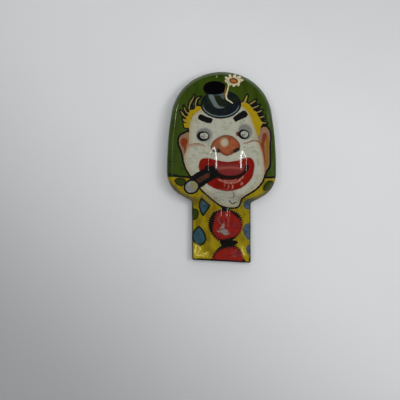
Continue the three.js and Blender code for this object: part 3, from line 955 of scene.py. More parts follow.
    def _hat(self) -> dict[str, Array]:
        """The top hat with its shines, and the daisy on its stem.

        Returns:
            their fields, by name.
        """
        crown = self._shape([
            (-8.5, 36.0), (-8.2, 34.6), (-7.2, 32.6), (-6.3, 29.8), (-5.1, 27.9), (-2.7, 26.8),
            (0.6, 26.9), (2.6, 28.1), (2.6, 30.6), (2.1, 33.5), (1.8, 36.0), (-0.4, 38.6), (-3.3, 39.3),
            (-6.4, 38.6),
        ])
        lid = self._oval(-3.3, 36.2, 5.2, 3.15)
        brim = self._oval(-0.5, 28.7, 8.7, 6.1)
        stripe = self._shape([
            (-6.1, 32.8), (-3.9, 32.9), (-2.8, 30.2), (-1.2, 27.9), (1.0, 27.3), (-0.2, 26.9),
            (-2.7, 27.2), (-4.3, 29.0),
        ])
        shine = self._shape([
            (-3.7, 32.9), (-1.0, 33.4), (0.8, 33.9), (1.3, 32.3), (0.6, 31.0), (-1.0, 32.6),
        ])
        petals = union(
            *(
                self._oval(
                    5.4 + 2.7 * math.cos(a), 39.6 + 1.55 * math.sin(a), 1.75, 0.62,
                    math.degrees(a) * 0.8, 24,
                ) for a in np.linspace(0.1, 0.1 + 2 * math.pi, 9, endpoint=False)
            )
        )
        heart = self._oval(5.3, 39.45, 2.0, 1.25, -10)
        # painted highlight: a lamp's reflection on the head's top shoulder
        spark = self._oval(-2.3, 41.4, 0.22, 0.45)
        stem = self._stroke(
            [
                (1.5, 39.9), (2.5, 38.7), (3.0, 37.6), (2.6, 35.2), (1.9, 32.8), (2.3, 31.0),
                (3.5, 30.1), (5.0, 29.1),
            ],
            0.5,
            0.4,
        )
        stem_gold = self._stroke([(1.9, 37.3), (1.5, 34.8), (1.4, 32.8), (1.8, 31.1)], 0.6, 0.6)
        return {
            "crown": crown, "lid": lid, "brim": brim, "stripe": stripe, "shine": shine,
            "petals": petals, "heart": heart, "spark": spark, "stem": stem, "stem_gold": stem_gold,
        }

    def _suit(self) -> dict[str, Array]:
        """Both pom-poms with their fringes, the knots between them and the chin's pen marks.

        Returns:
            their fields, by name.
        """
        fluff = union(
            distance(self.at, burst(1.7, -26.0, 7.1, 7.05, 44, 0.13)),
            distance(self.at, burst(3.1, -43.0, 7.2, 7.6, 44, 0.13, 0.5)),
        )
        pompons = union(
            distance(self.at, burst(2.35, -26.1, 5.35, 5.3, 38, 0.33, 0.3)),
            distance(self.at, burst(3.3, -43.3, 5.7, 6.2, 36, 0.28, 0.8)),
        )
        knots = union(
            self._shape([(0.2, -17.0), (3.8, -17.2), (3.4, -19.2), (1.6, -19.8), (0.2, -18.8)]),
            self._shape([
                (0.2, -32.6), (2.6, -33.2), (6.4, -33.0), (7.4, -34.3), (5.1, -35.4), (2.6, -35.6),
                (0.0, -35.1), (-0.7, -33.6),
            ]),
        )
        marks = union(
            self._stroke([(3.6, -14.6), (4.4, -15.8), (5.1, -16.2), (6.6, -15.5)], 0.35, 0.5),
            self._stroke([(5.3, -11.0), (5.5, -12.6), (5.0, -13.6)], 0.22, 0.6),
        )
        return {"fluff": fluff, "pompons": pompons, "knots": knots, "marks": marks}

    def _glitter(self) -> dict[str, Array]:
        """The rib's worn scuff, and painted highlights: reflection strokes and glowing creased corners.

        Returns:
            their fields, by name.
        """
        # painted highlights: reflections in the creases at the handle's bottom corners
        scratches = (
            [(-11.5, -35.2), (-12.0, -36.8), (-11.8, -38.2)],
            [(-12.0, -39.6), (-10.9, -40.0), (-9.0, -39.7)],
            [(-8.2, -39.2), (-6.4, -38.5)],
            [(-10.5, -35.8), (-9.6, -37.2)],
            [(-12.4, -37.4), (-12.2, -39.0)],
            [(9.3, -36.4), (9.8, -37.8), (10.3, -39.2)],
        )
        half = 0.1
        sparks = union(
            *(distance(self.at, np.array(line, float), closed=False) + half for line in scratches)
        )
        # painted highlight: a soft glow over the creased bottom corners
        gild = union(
            self._shape([
                (-12.6, -35.0), (-10.8, -35.4), (-9.2, -37.0), (-8.6, -38.6), (-6.2, -38.4),
                (-6.4, -40.2), (-9.4, -40.6), (-12.6, -40.4),
            ]),
            self._shape([(8.9, -35.6), (10.0, -36.0), (11.0, -39.4), (10.2, -40.6), (9.6, -38.4)]),
        )
        # painted highlights: reflection strokes down the rib and low on the handle
        loops = union(
            self._stroke(
                [(-0.1, -20.2), (-0.8, -21.8), (-1.3, -23.6), (-0.8, -25.0), (0.4, -26.2), (-0.4, -27.6)],
                0.45,
                0.5,
            ),
            self._stroke([(1.6, -19.9), (2.2, -21.8), (3.2, -23.4), (3.0, -25.6), (2.8, -27.0)], 0.4, 0.5),
            self._stroke([(4.6, -38.9), (6.2, -37.9), (7.4, -37.2)], 0.3, 0.6),
            self._stroke([(4.4, -40.6), (5.8, -40.2), (6.6, -40.6)], 0.35, 0.6),
        )
        scuff = self._shape([
            (-2.2, -28.6), (-1.0, -27.6), (0.3, -26.3), (1.3, -25.0), (1.4, -26.9), (2.4, -28.2),
            (3.6, -29.6), (1.8, -30.4), (0.2, -29.6),
        ])
        return {"sparks": sparks, "gild": gild, "loops": loops, "scuff": scuff}


# ------------------------------------------------------------------ shader building


Number = Union["Value", float, int]


class Value:
    """A shader socket that can be added, multiplied and compared like a number."""

    def __init__(self, nodes: "Nodes", socket: bpy.types.NodeSocket) -> None:
        """Wraps a socket of a node tree."""
        self.nodes, self.socket = nodes, socket

    def _do(self, operation: str, *inputs: Number, clamp: bool = False) -> "Value":
        """Adds a Math node.

        Args:
            operation: what it does.
            inputs: values or numbers it does it to.
            clamp: whether its result is held between 0 and 1.

        Returns:
            its result.
        """
        node = self.nodes.node("ShaderNodeMath", {"operation": operation, "use_clamp": clamp})
        for slot, value in zip(node.inputs, inputs):
            self.nodes.put(slot, value)
        return Value(self.nodes, node.outputs[0])

    def __add__(self, other: Number) -> "Value":
        """This plus the other."""
        return self._do("ADD", self, other)

    def __sub__(self, other: Number) -> "Value":
        """This minus the other."""
        return self._do("SUBTRACT", self, other)

    def __mul__(self, other: Number) -> "Value":
        """This times the other."""
        return self._do("MULTIPLY", self, other)

    def __radd__(self, other: Number) -> "Value":
        """The other plus this."""
        return self._do("ADD", other, self)

    def __rsub__(self, other: Number) -> "Value":
        """The other minus this."""
        return self._do("SUBTRACT", other, self)

    def __rmul__(self, other: Number) -> "Value":
        """The other times this."""
        return self._do("MULTIPLY", other, self)

    def __pow__(self, other: Number) -> "Value":
        """This to the power of the other."""
        return self._do("POWER", self, other)

    def magnitude(self) -> "Value":
        """Its size without its sign."""
        return self._do("ABSOLUTE", self)

    def largest(self, other: Number) -> "Value":
        """The larger of the two."""
        return self._do("MAXIMUM", self, other)

    def flipped(self) -> "Value":
        """1 minus this."""
        return 1 - self

    def held(self) -> "Value":
        """Held between 0 and 1."""
        return self._do("ADD", self, 0.0, clamp=True)

    def ramp(self, low: float, high: float) -> "Value":
        """A smooth ramp.

        Args:
            low: where it is 0.
            high: where it is 1.

        Returns:
            the ramp's height, 0 to 1.
        """
        smooth_step = {"interpolation_type": "SMOOTHSTEP"}
        node = self.nodes.node("ShaderNodeMapRange", smooth_step, Value=self, From_Min=low, From_Max=high)
        return Value(self.nodes, node.outputs["Result"])


class Nodes:
    """A node tree that nodes are added to and linked in."""

    def __init__(self, tree: bpy.types.NodeTree) -> None:
        """Wraps a node tree."""
        self.tree = tree

    def node(self, kind: str, settings: dict[str, object] | None = None, **inputs: object) -> bpy.types.Node:
        """Adds a node.

        Args:
            kind: its type name.
            settings: properties to set on it.
            inputs: values or sockets for its inputs, spaces in names as underscores.

        Returns:
            the node.
        """
        made = self.tree.nodes.new(kind)
        for key, value in (settings or {}).items():
            setattr(made, key, value)
        for key, value in inputs.items():
            self.put(made.inputs[key.replace("_", " ")], value)
        return made

    def put(self, slot: bpy.types.NodeSocket, value: object) -> None:
        """Links a socket or sets a constant.

        Args:
            slot: the input.
            value: a value, a socket, or a number, colour or vector.
        """
        if isinstance(value, Value):
            self.tree.links.new(value.socket, slot)
        elif isinstance(value, bpy.types.NodeSocket):
            self.tree.links.new(value, slot)
        else:
            slot.default_value = (*value, 1.0) if isinstance(
                value, tuple
            ) and slot.type == "RGBA" else value

class Graph(Nodes):
    """A material's node tree, with the few things this object's materials need."""

    def __init__(self, name: str) -> None:
        """Makes an empty material with its main shader.

        Args:
            name: the material's name.
        """
        self.material = bpy.data.materials.new(name)
        self.material.use_nodes = True
        super().__init__(self.material.node_tree)
        self.tree.nodes.clear()
        self.place = self.node("ShaderNodeTexCoord").outputs["Object"]
        self.shader = self.node("ShaderNodeBsdfPrincipled")
        output = self.node("ShaderNodeOutputMaterial")
        self.tree.links.new(self.shader.outputs[0], output.inputs["Surface"])

    def attribute(self, name: str) -> Value:
        """A number stored on the mesh."""
        return Value(self, self.node("ShaderNodeAttribute", {"attribute_name": name}).outputs["Fac"])

    def along(self, way: Point) -> Value:
        """Distance from the frame's origin along a level direction.

        Args:
            way: the direction, of length 1.

        Returns:
            millimetres.
        """
        node = self.node("ShaderNodeVectorMath", {"operation": "DOT_PRODUCT"})
        self.put(node.inputs[0], self.place)
        node.inputs[1].default_value = (way[0] / MM, way[1] / MM, 0.0)
        return Value(self, node.outputs["Value"])

    def noise(
        self,
        size: float,
        detail: float = 3.0,
        stretch: tuple[float, float, float] = (1, 1, 1),
        shift: float = 0.0,
    ) -> Value:
        """Cloudy noise.

        Args:
            size: millimetres across a blob.
            detail: how many finer layers it has.
            stretch: how many times finer it is along each direction.
            shift: moves it, so that two uses differ.

        Returns:
            the noise, 0 to 1.
        """
        scale = tuple(s / (size * MM) for s in stretch)
        move = (shift, shift * 0.7, 0.0)
        mapping = self.node("ShaderNodeMapping", Vector=self.place, Scale=scale, Location=move)
        noise = self.node(
            "ShaderNodeTexNoise", Vector=mapping.outputs[0], Scale=1.0, Detail=detail, Roughness=0.6
        )
        return Value(self, noise.outputs["Fac"])

    def dots(self, size: float, randomness: float = 1.0) -> Value:
        """Distance to the nearest of many scattered points.

        Args:
            size: millimetres between points.
            randomness: how unevenly they lie.

        Returns:
            the distance, in cells.
        """
        mapping = self.node("ShaderNodeMapping", Vector=self.place, Scale=(1 / (size * MM),) * 3)
        cells = self.node(
            "ShaderNodeTexVoronoi", Vector=mapping.outputs[0], Scale=1.0, Randomness=randomness
        )
        return Value(self, cells.outputs["Distance"])

    def mix(self, below: object, above: object, share: Number) -> bpy.types.NodeSocket:
        """One colour over another.

        Args:
            below: the colour under it.
            above: the colour over it.
            share: how much of the upper one shows.

        Returns:
            the mixed colour.
        """
        node = self.node("ShaderNodeMix", {"data_type": "RGBA"})
        self.put(node.inputs[0], share)
        self.put(node.inputs[6], below)
        self.put(node.inputs[7], above)
        return node.outputs[2]

    def shade(self, colour: object, amount: Number) -> bpy.types.NodeSocket:
        """A colour made brighter or darker.

        Args:
            colour: the colour.
            amount: the factor.

        Returns:
            the new colour.
        """
        node = self.node("ShaderNodeVectorMath", {"operation": "SCALE"})
        self.put(node.inputs[0], colour)
        self.put(node.inputs["Scale"], amount)
        return node.outputs[0]

    def bump(self, height: Value, millimetres: float, strength: float = 1.0) -> None:
        """Dents and lumps.

        Args:
            height: from 0 to 1.
            millimetres: how high 1 is.
            strength: how much of it shows.
        """
        node = self.node("ShaderNodeBump", Strength=strength, Distance=millimetres * MM, Height=height)
        self.tree.links.new(node.outputs[0], self.shader.inputs["Normal"])

    def finish(self, **inputs: object) -> bpy.types.Material:
        """Sets the main shader's inputs.

        Args:
            inputs: values or sockets for them, spaces in names as underscores.

        Returns:
            the material.
        """
        for key, value in inputs.items():
            self.put(self.shader.inputs[key.replace("_", " ")], value)
        return self.material


class Ink(Enum):
    """Printing inks and bare metals, and a few painted highlight and shade colours, as linear colours."""

    GREEN = (0.036, 0.064, 0.004)
    GREEN_DEEP = (0.022, 0.042, 0.003)
    GREEN_DARK = (0.010, 0.018, 0.004)
    LOCK = (0.26, 0.21, 0.085)
    OCHRE = (0.17, 0.095, 0.002)
    SHADE_GREEN = (0.19, 0.225, 0.115)
    SHADE_PINK = (0.34, 0.26, 0.21)
    SHADE_BEIGE = (0.36, 0.31, 0.19)
    MAROON = (0.075, 0.006, 0.005)
    # SPARK and the colour after it are painted highlights on the creased bottom corners
    SPARK = (0.80, 0.68, 0.22)
    GILT = (0.40, 0.31, 0.012)
    SLATE = (0.060, 0.092, 0.130)
    # painted highlight on the lower lip
    GLOW = (0.46, 0.24, 0.17)
    # painted shade under the jaw
    OLIVE_GREY = (0.085, 0.085, 0.050)
    PURPLE = (0.035, 0.010, 0.045)
    YELLOW = (0.29, 0.215, 0.002)
    MUSTARD = (0.17, 0.12, 0.002)
    SPOT_GREEN = (0.028, 0.040, 0.002)
    BLUE = (0.028, 0.075, 0.105)
    TEAL = (0.012, 0.040, 0.040)
    BLACK = (0.006, 0.006, 0.006)
    WHITE = (0.395, 0.397, 0.320)
    HAIR = (0.34, 0.235, 0.002)
    EAR = (0.25, 0.140, 0.070)
    EAR_LILAC = (0.21, 0.13, 0.105)
    RUST = (0.185, 0.032, 0.006)
    GOLD = (0.21, 0.11, 0.006)
    LID = (0.118, 0.118, 0.118)
    IRIS = (0.37, 0.39, 0.36)
    NOSE = (0.29, 0.080, 0.030)
    NOSE_DEEP = (0.16, 0.035, 0.014)
    CREAM = (0.42, 0.40, 0.27)
    RED = (0.19, 0.006, 0.002)
    GUM = (0.17, 0.020, 0.018)
    PINK = (0.30, 0.075, 0.055)
    BROWN = (0.055, 0.026, 0.014)
    BROWN_WARM = (0.085, 0.022, 0.013)
    ASH = (0.20, 0.20, 0.185)
    ASH_GLOW = (0.26, 0.19, 0.06)
    HAT = (0.006, 0.009, 0.013)
    HAT_LID = (0.0015, 0.001, 0.0015)
    HAT_SHINE = (0.12, 0.16, 0.16)
    HAT_OLIVE = (0.012, 0.017, 0.006)
    PETAL = (0.56, 0.50, 0.30)
    HEART = (0.35, 0.130, 0.026)
    POMPON = (0.235, 0.012, 0.006)
    MAUVE = (0.12, 0.025, 0.035)
    TIN = (0.30, 0.29, 0.26)
    LACQUER = (0.34, 0.31, 0.24)
    STEEL = (0.36, 0.38, 0.41)
    RUST_SPOT = (0.12, 0.045, 0.015)


@dataclass
class Printer:
    """Lays inks one over another by the drawing's distance fields."""

    graph: Graph
    colour: object = Ink.GREEN.value
    edge: float = 0.08
    waver: Number = 0.0

    def field(self, name: str) -> Value:
        """A stored distance field, in millimetres."""
        return self.graph.attribute(name)

    def inside(self, name: str, grow: float = 0.0, soft: float = 0.0) -> Value:
        """Where a drawn shape covers.

        Args:
            name: the shape's field.
            grow: millimetres it is grown by.
            soft: half the width of its soft edge, or 0 for the printer's own.

        Returns:
            1 inside, 0 outside.
        """
        reach = soft or self.edge
        return (self.field(name) + self.waver).ramp(-grow - reach, -grow + reach)

    def lay(self, share: Value, ink: object) -> None:
        """Prints an ink over what is there.

        Args:
            share: where and how strongly.
            ink: an ink or a colour socket.
        """
        self.colour = self.graph.mix(self.colour, ink.value if isinstance(ink, Ink) else ink, share)

    def shape(
        self,
        name: str,
        ink: object,
        grow: float = 0.0,
        soft: float = 0.0,
        strength: Number = 1.0,
    ) -> None:
        """Prints a drawn shape.

        Args:
            name: the shape's field.
            ink: an ink or a colour socket.
            grow: millimetres it is grown by.
            soft: half the width of its soft edge, or 0 for the printer's own.
            strength: how strongly it prints.
        """
        self.lay(self.inside(name, grow, soft) * strength, ink)


class PrintedTin:
    """The glossy litho print outside, with some painted highlights and shade; bare lacquered tin inside."""

    def __init__(self) -> None:
        """Starts the material, with print edges that waver a little."""
        self.g = Graph("printed_tin")
        self.print = Printer(self.g, waver=(self.g.noise(1.1, 2, shift=12) - 0.5) * 0.42)

    def _suit(self) -> None:
        """Green ground, yellow collar and suit with its spots and blue lozenges."""
        g, p = self.g, self.print
        p.lay(g.noise(7, 3, (1.6, 0.6, 1)).ramp(0.35, 0.75), Ink.GREEN_DEEP)
        p.lay(g.noise(2.2, 4, (1.2, 0.8, 1), 4).ramp(0.56, 0.75) * 0.6, Ink.GREEN_DARK)
        cloth = g.mix(Ink.YELLOW.value, Ink.MUSTARD.value, g.noise(4, 4, (1.6, 0.6, 1), 3).ramp(0.40, 0.66))
        cloth = g.mix(cloth, Ink.OCHRE.value, g.noise(3, 4, (1.8, 0.7, 1), 7).ramp(0.52, 0.74) * 0.9)
        cloth = g.mix(
            cloth, Ink.SPOT_GREEN.value, g.noise(2.2, 4, (1.5, 0.7, 1), 11).ramp(0.62, 0.84) * 0.55
        )
        p.lay(p.inside("collar"), cloth)
        p.shape("fold", Ink.OCHRE, 0.0, 0.3, 0.5)
        p.shape("spots", Ink.GREEN_DARK, 0.3, 0.15)
        p.shape(
            "spots",
            g.mix(Ink.SPOT_GREEN.value, Ink.GREEN_DEEP.value, g.noise(1.6, 3, shift=2).ramp(0.4, 0.7)),
            -0.3,
            0.25,
        )
        p.shape("diamonds", Ink.GREEN_DARK, 0.45, 0.12)
        blue = g.mix(Ink.BLUE.value, Ink.TEAL.value, g.noise(2.4, 4).ramp(0.42, 0.75))
        blue = g.mix(blue, Ink.LID.value, g.noise(1.3, 4, shift=6).ramp(0.60, 0.9) * 0.35)
        p.shape("diamonds", blue, -0.4, 0.22)
        p.shape("lozenges", Ink.SHADE_GREEN, 0.5, 0.2, 0.5)
        p.shape("lozenges", Ink.GREEN_DARK, 0.12, 0.15, 0.8)
        p.shape(
            "lozenges",
            g.mix(Ink.SLATE.value, Ink.TEAL.value, g.noise(1.8, 4, shift=4).ramp(0.5, 0.75)),
            -0.25,
            0.25,
        )
        p.shape("seams", Ink.BLACK, 0.08)

    def _pompons(self) -> None:
        """Red pom-poms with ragged black fringes, then the handle's painted highlights."""
        g, p = self.g, self.print
        p.shape("fluff", Ink.BLACK, 0.1)
        p.lay(p.inside("fluff", -0.4) * g.noise(0.9, 3, shift=3).ramp(0.50, 0.72) * 0.7, Ink.MAROON)
        red = g.mix(Ink.POMPON.value, Ink.MAUVE.value, g.noise(3, 4, shift=5).ramp(0.50, 0.74))
        red = g.mix(red, Ink.RED.value, g.noise(2, 4, shift=9).ramp(0.50, 0.72))
        red = g.mix(red, Ink.MAROON.value, g.noise(1.3, 4, shift=14).ramp(0.52, 0.75) * 0.75)
        p.shape("pompons", red, 0.1, 0.16)
        p.lay(p.inside("fluff", -0.6) * g.noise(2.2, 2, shift=17).ramp(0.66, 0.76) * 0.7, Ink.PURPLE)
        p.shape("knots", Ink.BLACK)
        # painted highlights: reflection strokes on the rib and low on the handle
        p.shape("loops", Ink.PINK, 0.05, 0.22, 0.75)
        # painted highlights: glow and bright streaks on the creased bottom corners
        p.shape("gild", Ink.GILT, 0.2, 0.9, 0.75)
        p.lay(
            p.inside("gild", 0.2, 0.5) * g.noise(0.8, 4, (1, 0.6, 1), 22).ramp(0.52, 0.64) * 0.6,
            Ink.SPARK,
        )
        p.shape("sparks", Ink.SPARK, 0.05, 0.18, 0.7)

    def _head(self) -> None:
        """The head's black outline, its ears and its hair."""
        g, p = self.g, self.print
        tufts = p.inside("hair", 0.5).largest(p.inside("locks", 0.62))
        p.lay(tufts.largest(p.inside("face", 0.72)).largest(p.inside("ears", 0.8)), Ink.BLACK)
        ear = g.mix(Ink.EAR.value, Ink.EAR_LILAC.value, g.noise(2.6, 3).ramp(0.42, 0.66))
        p.shape("ears", ear, -0.1)
        p.shape("ear_gold", Ink.GOLD, 0.0, 0.3)
        hollow = g.mix(Ink.RUST.value, Ink.MAROON.value, g.noise(1.6, 3, shift=3).ramp(0.5, 0.8) * 0.6)
        p.shape("ear_red", hollow, 0.0, 0.35)
        hair = g.mix(
            Ink.HAIR.value, Ink.OCHRE.value, g.noise(1.6, 4, (2.0, 1.0, 1), 5).ramp(0.52, 0.76) * 0.8
        )
        p.shape("hair", hair)
        p.shape("strands", Ink.BLACK)
        wisps = g.mix(Ink.LOCK.value, Ink.HAIR.value, g.noise(1.8, 2, shift=6).ramp(0.4, 0.6) * 0.7)
        p.shape("locks", wisps, -0.04)

    def _face(self) -> None:
        """The white, shaded toward its edge, flecked and blushed."""
        g, p = self.g, self.print
        deep = p.field("face")
        white = g.mix(Ink.SHADE_BEIGE.value, Ink.WHITE.value, deep.ramp(0.2, 2.4))
        white = g.mix(white, Ink.SHADE_GREEN.value, g.noise(2.6, 5, (1, 1.2, 1), 2).ramp(0.50, 0.80) * 0.75)
        white = g.mix(white, Ink.SHADE_PINK.value, g.noise(3.2, 4, shift=8).ramp(0.52, 0.80) * 0.6)
        white = g.mix(white, Ink.SHADE_BEIGE.value, g.noise(1.2, 4, shift=21).ramp(0.50, 0.78) * 0.55)
        p.shape("face", white, -0.1)
        p.lay(
            p.inside("shade", 0.1, 0.5) * g.noise(0.9, 4, shift=15).ramp(0.35, 0.6) * 0.6,
            Ink.SHADE_GREEN,
        )
        speckle = g.dots(0.8).ramp(0.20, 0.08) * g.noise(2.4, 3, shift=7).ramp(0.46, 0.60)
        p.lay(p.inside("face", -0.3) * speckle * 0.5, Ink.SPOT_GREEN)
        p.shape("stubble", Ink.SPOT_GREEN, 0.02, 0.12, 0.85)
        p.shape("blush", Ink.NOSE, 0.0, 0.5, 0.45)
        p.shape("cheeks", Ink.RUST, 0.0, 0.2, 0.75)
        p.shape("marks", Ink.BLACK, 0.08, 0.0, 0.9)

    def _eyes(self) -> None:
        """Shaded lids, brows and eyes."""
        g, p = self.g, self.print
        tint = g.mix(Ink.LID.value, Ink.SHADE_GREEN.value, g.noise(1.4, 3, shift=19).ramp(0.5, 0.8) * 0.7)
        p.shape("lids", tint, -0.1, 0.7, 0.8)
        p.shape("corner", g.mix(Ink.RUST.value, Ink.BROWN.value, 0.6), 0.05, 0.3)
        p.shape("brows", Ink.BLACK)
        p.lay(p.inside("brows", -0.3) * g.noise(0.7, 3, shift=8).ramp(0.55, 0.8) * 0.5, Ink.PURPLE)
        p.shape("rings", Ink.BLACK, 0.1)
        eyeball = g.mix(Ink.WHITE.value, Ink.LID.value, g.noise(0.8, 3, shift=4).ramp(0.4, 0.8))
        p.shape("whites", eyeball, 0.0, 0.12)
        p.shape("irises", Ink.IRIS, 0.0, 0.12, 0.8)
        p.shape("pupils", Ink.HAT, 0.0, 0.12, 0.85)
        p.shape("glints", Ink.CREAM, 0.05, 0.1)

    def _nose(self) -> None:
        """The orange nose, paler in the middle."""
        g, p = self.g, self.print
        p.shape("nose", Ink.BROWN, 0.22, 0.18, 0.55)
        p.shape("nose", Ink.NOSE_DEEP, 0.0, 0.2)
        skin = g.mix(Ink.NOSE.value, Ink.NOSE_DEEP.value, g.noise(2.4, 4, shift=1).ramp(0.44, 0.74))
        skin = g.mix(skin, Ink.EAR.value, g.noise(1.2, 4, shift=13).ramp(0.55, 0.8) * 0.5)
        p.shape("nose", skin, -0.6, 0.55)
        p.shape("nose_glint", Ink.CREAM, -0.2, 0.8, 0.85)
        p.shape("wing", Ink.EAR, 0.0, 0.9, 0.4)
        p.shape("nostrils", Ink.BLACK, 0.1, 0.3, 0.9)

    def _mouth(self) -> None:
        """Red lips with their painted highlight, and the open mouth."""
        g, p = self.g, self.print
        p.shape("lips", Ink.SHADE_PINK, 0.35, 0.3, 0.6)
        red = g.mix(Ink.RED.value, Ink.MAROON.value, g.noise(1.8, 4, shift=10).ramp(0.50, 0.78) * 0.7)
        p.shape("lips", red)
        p.shape("opening", Ink.MAROON)
        p.lay(p.inside("opening", -0.1, 0.2) * p.inside("gum", 0.1, 0.35).flipped() * 0.9, Ink.BLACK)
        gum = g.mix(Ink.GUM.value, Ink.MAROON.value, g.noise(1.2, 3, shift=5).ramp(0.5, 0.8) * 0.7)
        p.shape("gum", gum, 0.0, 0.35)
        p.shape("sheen", Ink.PINK, 0.0, 0.5, 0.8)
        p.shape("corners", Ink.BLACK, 0.0, 0.25, 0.92)
        # painted highlight along the lower lip
        glow = g.mix(Ink.PINK.value, Ink.GLOW.value, g.noise(0.9, 3, shift=23).ramp(0.42, 0.62))
        p.shape("lip_glow", glow, 0.08, 0.25, 0.85)

    def _cigar(self) -> None:
        """The black cigar with its brown core and mottled ash."""
        g, p = self.g, self.print
        p.shape("cigar", Ink.BLACK, 0.6)
        leaf = g.mix(Ink.BROWN.value, Ink.BLACK.value, g.noise(0.9, 4, (0.6, 2, 1)).ramp(0.45, 0.75))
        p.shape("core", leaf, 0.0, 0.4)
        p.shape("cigar_warm", Ink.BROWN_WARM, 0.0, 0.5)
        p.shape("ash", Ink.BLACK, 0.72)
        cinder = g.mix(Ink.ASH.value, Ink.PURPLE.value, g.noise(0.9, 4).ramp(0.50, 0.80) * 0.55)
        cinder = g.mix(cinder, Ink.WHITE.value, g.noise(1.1, 4, shift=16).ramp(0.5, 0.7) * 0.6)
        p.shape("ash", cinder, -0.1, 0.16)
        ember = g.mix(Ink.ASH_GLOW.value, Ink.SHADE_GREEN.value, g.noise(1.0, 3, shift=2))
        p.lay(p.inside("ash", -0.2) * p.inside("ash_glow", 0.2, 0.7), ember)

    def _hat(self) -> None:
        """The top hat and its daisy."""
        g, p = self.g, self.print
        p.shape("brim", Ink.BLACK, 0.45)
        felt = g.mix(Ink.HAT.value, Ink.HAT_OLIVE.value, g.noise(2.4, 4, shift=18).ramp(0.45, 0.7))
        p.shape("brim", felt)
        rim = (p.field("brim") - 0.55).magnitude().ramp(0.36, 0.12) * p.inside("rim_side", 0.0, 1.2)
        p.lay(rim * g.noise(1.6, 3, shift=3).ramp(0.2, 0.45), Ink.HAT_SHINE)
        p.shape(
            "crown",
            g.mix(Ink.HAT_OLIVE.value, Ink.HAT.value, g.noise(1.8, 3, shift=10).ramp(0.45, 0.7)),
        )
        p.shape("shine", Ink.HAT_SHINE, 0.0, 0.5, 0.55)
        p.shape("stripe", Ink.HAT_SHINE, 0.0, 0.3, 0.9)
        p.shape("lid", Ink.HAT_LID)
        p.shape("petals", Ink.GREEN_DARK, 0.35, 0.2, 0.7)
        p.shape(
            "petals",
            g.mix(Ink.PETAL.value, Ink.SHADE_PINK.value, g.noise(1.2, 3, shift=9).ramp(0.45, 0.7)),
            0.1,
        )
        p.shape("heart", Ink.MAROON, 0.05, 0.15)
        p.shape(
            "heart",
            g.mix(Ink.HEART.value, Ink.PINK.value, g.noise(0.7, 2, shift=1).ramp(0.5, 0.8) * 0.6),
            -0.5,
            0.2,
        )
        p.shape("stem_gold", Ink.GOLD)
        p.shape("stem", Ink.BLACK, 0.3, 0.2, 0.7)
        p.shape("stem", Ink.PETAL, 0.08)
        # painted highlight near the top of the head
        p.shape("spark", Ink.CREAM, 0.0, 0.15, 0.8)

    def material(self) -> bpy.types.Material:
        """Puts the print together with its wear, its painted edge shade and the bare inside.

        Returns:
            the material.
        """
        g, p = self.g, self.print
        for layer in (self._suit, self._pompons, self._head, self._face, self._eyes, self._nose,
                      self._mouth, self._cigar, self._hat):
            layer()
        grain = g.noise(0.35, 2)
        p.colour = g.shade(p.colour, 0.86 + grain * 0.28)
        bare = self._wear()
        # painted shade on the jaw, the handle's sides and its cut end
        self._grime()
        handled = p.field("depth").ramp(3.6, 2.2) * g.along((0.0, 1.0)).ramp(27.0, 17.0)
        inside = g.attribute("inside").ramp(0.4, 0.6)
        lacquer = g.mix(
            Ink.LACQUER.value, Ink.RUST_SPOT.value, g.noise(3, 5, shift=9).ramp(0.62, 0.8) * 0.7
        )
        p.lay(inside, lacquer)
        metal = (bare * 0.6 + inside * 0.85).held()
        dull = 0.34 + g.noise(4, 4).ramp(0.3, 0.8) * 0.14 + bare * 0.2
        varnish = (bare + inside).held().flipped() * (0.9 - handled * 0.78)
        rumple = g.noise(7, 2, shift=2) * 0.6 + g.noise(1.6, 3, shift=5) * 0.12
        g.bump(rumple, 0.12, 0.55)
        return g.finish(
            Base_Color=p.colour,
            Roughness=dull,
            Metallic=metal,
            Coat_Weight=varnish,
            Coat_Roughness=0.07,
            Coat_IOR=1.5,
            Specular_IOR_Level=0.04,
        )

    def _wear(self) -> Value:
        """Ink worn down to the tin: the scuff on the rib, the bent edges, the rim and scratches.

        Returns:
            how bare the tin is, 0 to 1.
        """
        g, p = self.g, self.print
        wear = p.inside("scuff", 0.1, 0.35) * g.noise(1.1, 4, shift=4).ramp(0.38, 0.52)
        edge = p.field("depth").magnitude().ramp(0.9, 0.0) * g.noise(2.2, 4, shift=6).ramp(0.55, 0.68)
        rim_wear = p.field("depth").ramp(-4.2, -6.5) * g.noise(1.4, 4, shift=8).ramp(0.42, 0.6)
        scratches = g.noise(
            0.5, 2, (0.12, 2.2, 1), 2,
        ).ramp(0.75, 0.79) * g.noise(9, 1, shift=3).ramp(0.5, 0.6)
        bare = (wear + edge * 0.45 + rim_wear + scratches * 0.35).held()
        tin = g.mix(Ink.TIN.value, Ink.RUST_SPOT.value, g.noise(1.5, 4, shift=2).ramp(0.6, 0.75))
        p.lay(bare, tin)
        return bare

    def _grime(self) -> None:
        """Painted shade: under the jaw, down the handle's sides and along its cut end."""
        g, p = self.g, self.print
        depth, up = p.field("depth"), g.along((0.0, 1.0))
        # painted shade on the jaw's shoulders
        jaw = depth.ramp(2.6, 0.9) * up.ramp(-5.0, -9.0) * up.ramp(-17.0, -14.0)
        p.lay(jaw * (0.45 + g.noise(2.0, 3, shift=25) * 0.5), Ink.OLIVE_GREY)
        # painted shade down the handle's side walls
        p.lay(depth.ramp(0.85, 0.35) * up.ramp(-14.0, -17.0) * 0.75, Ink.GREEN_DARK)
        # painted shade along the handle's cut end
        hem = p.field("hem").ramp(-0.2, 0.4) * depth.ramp(1.15, 0.65)
        p.lay(hem * 0.85, Ink.BLACK)


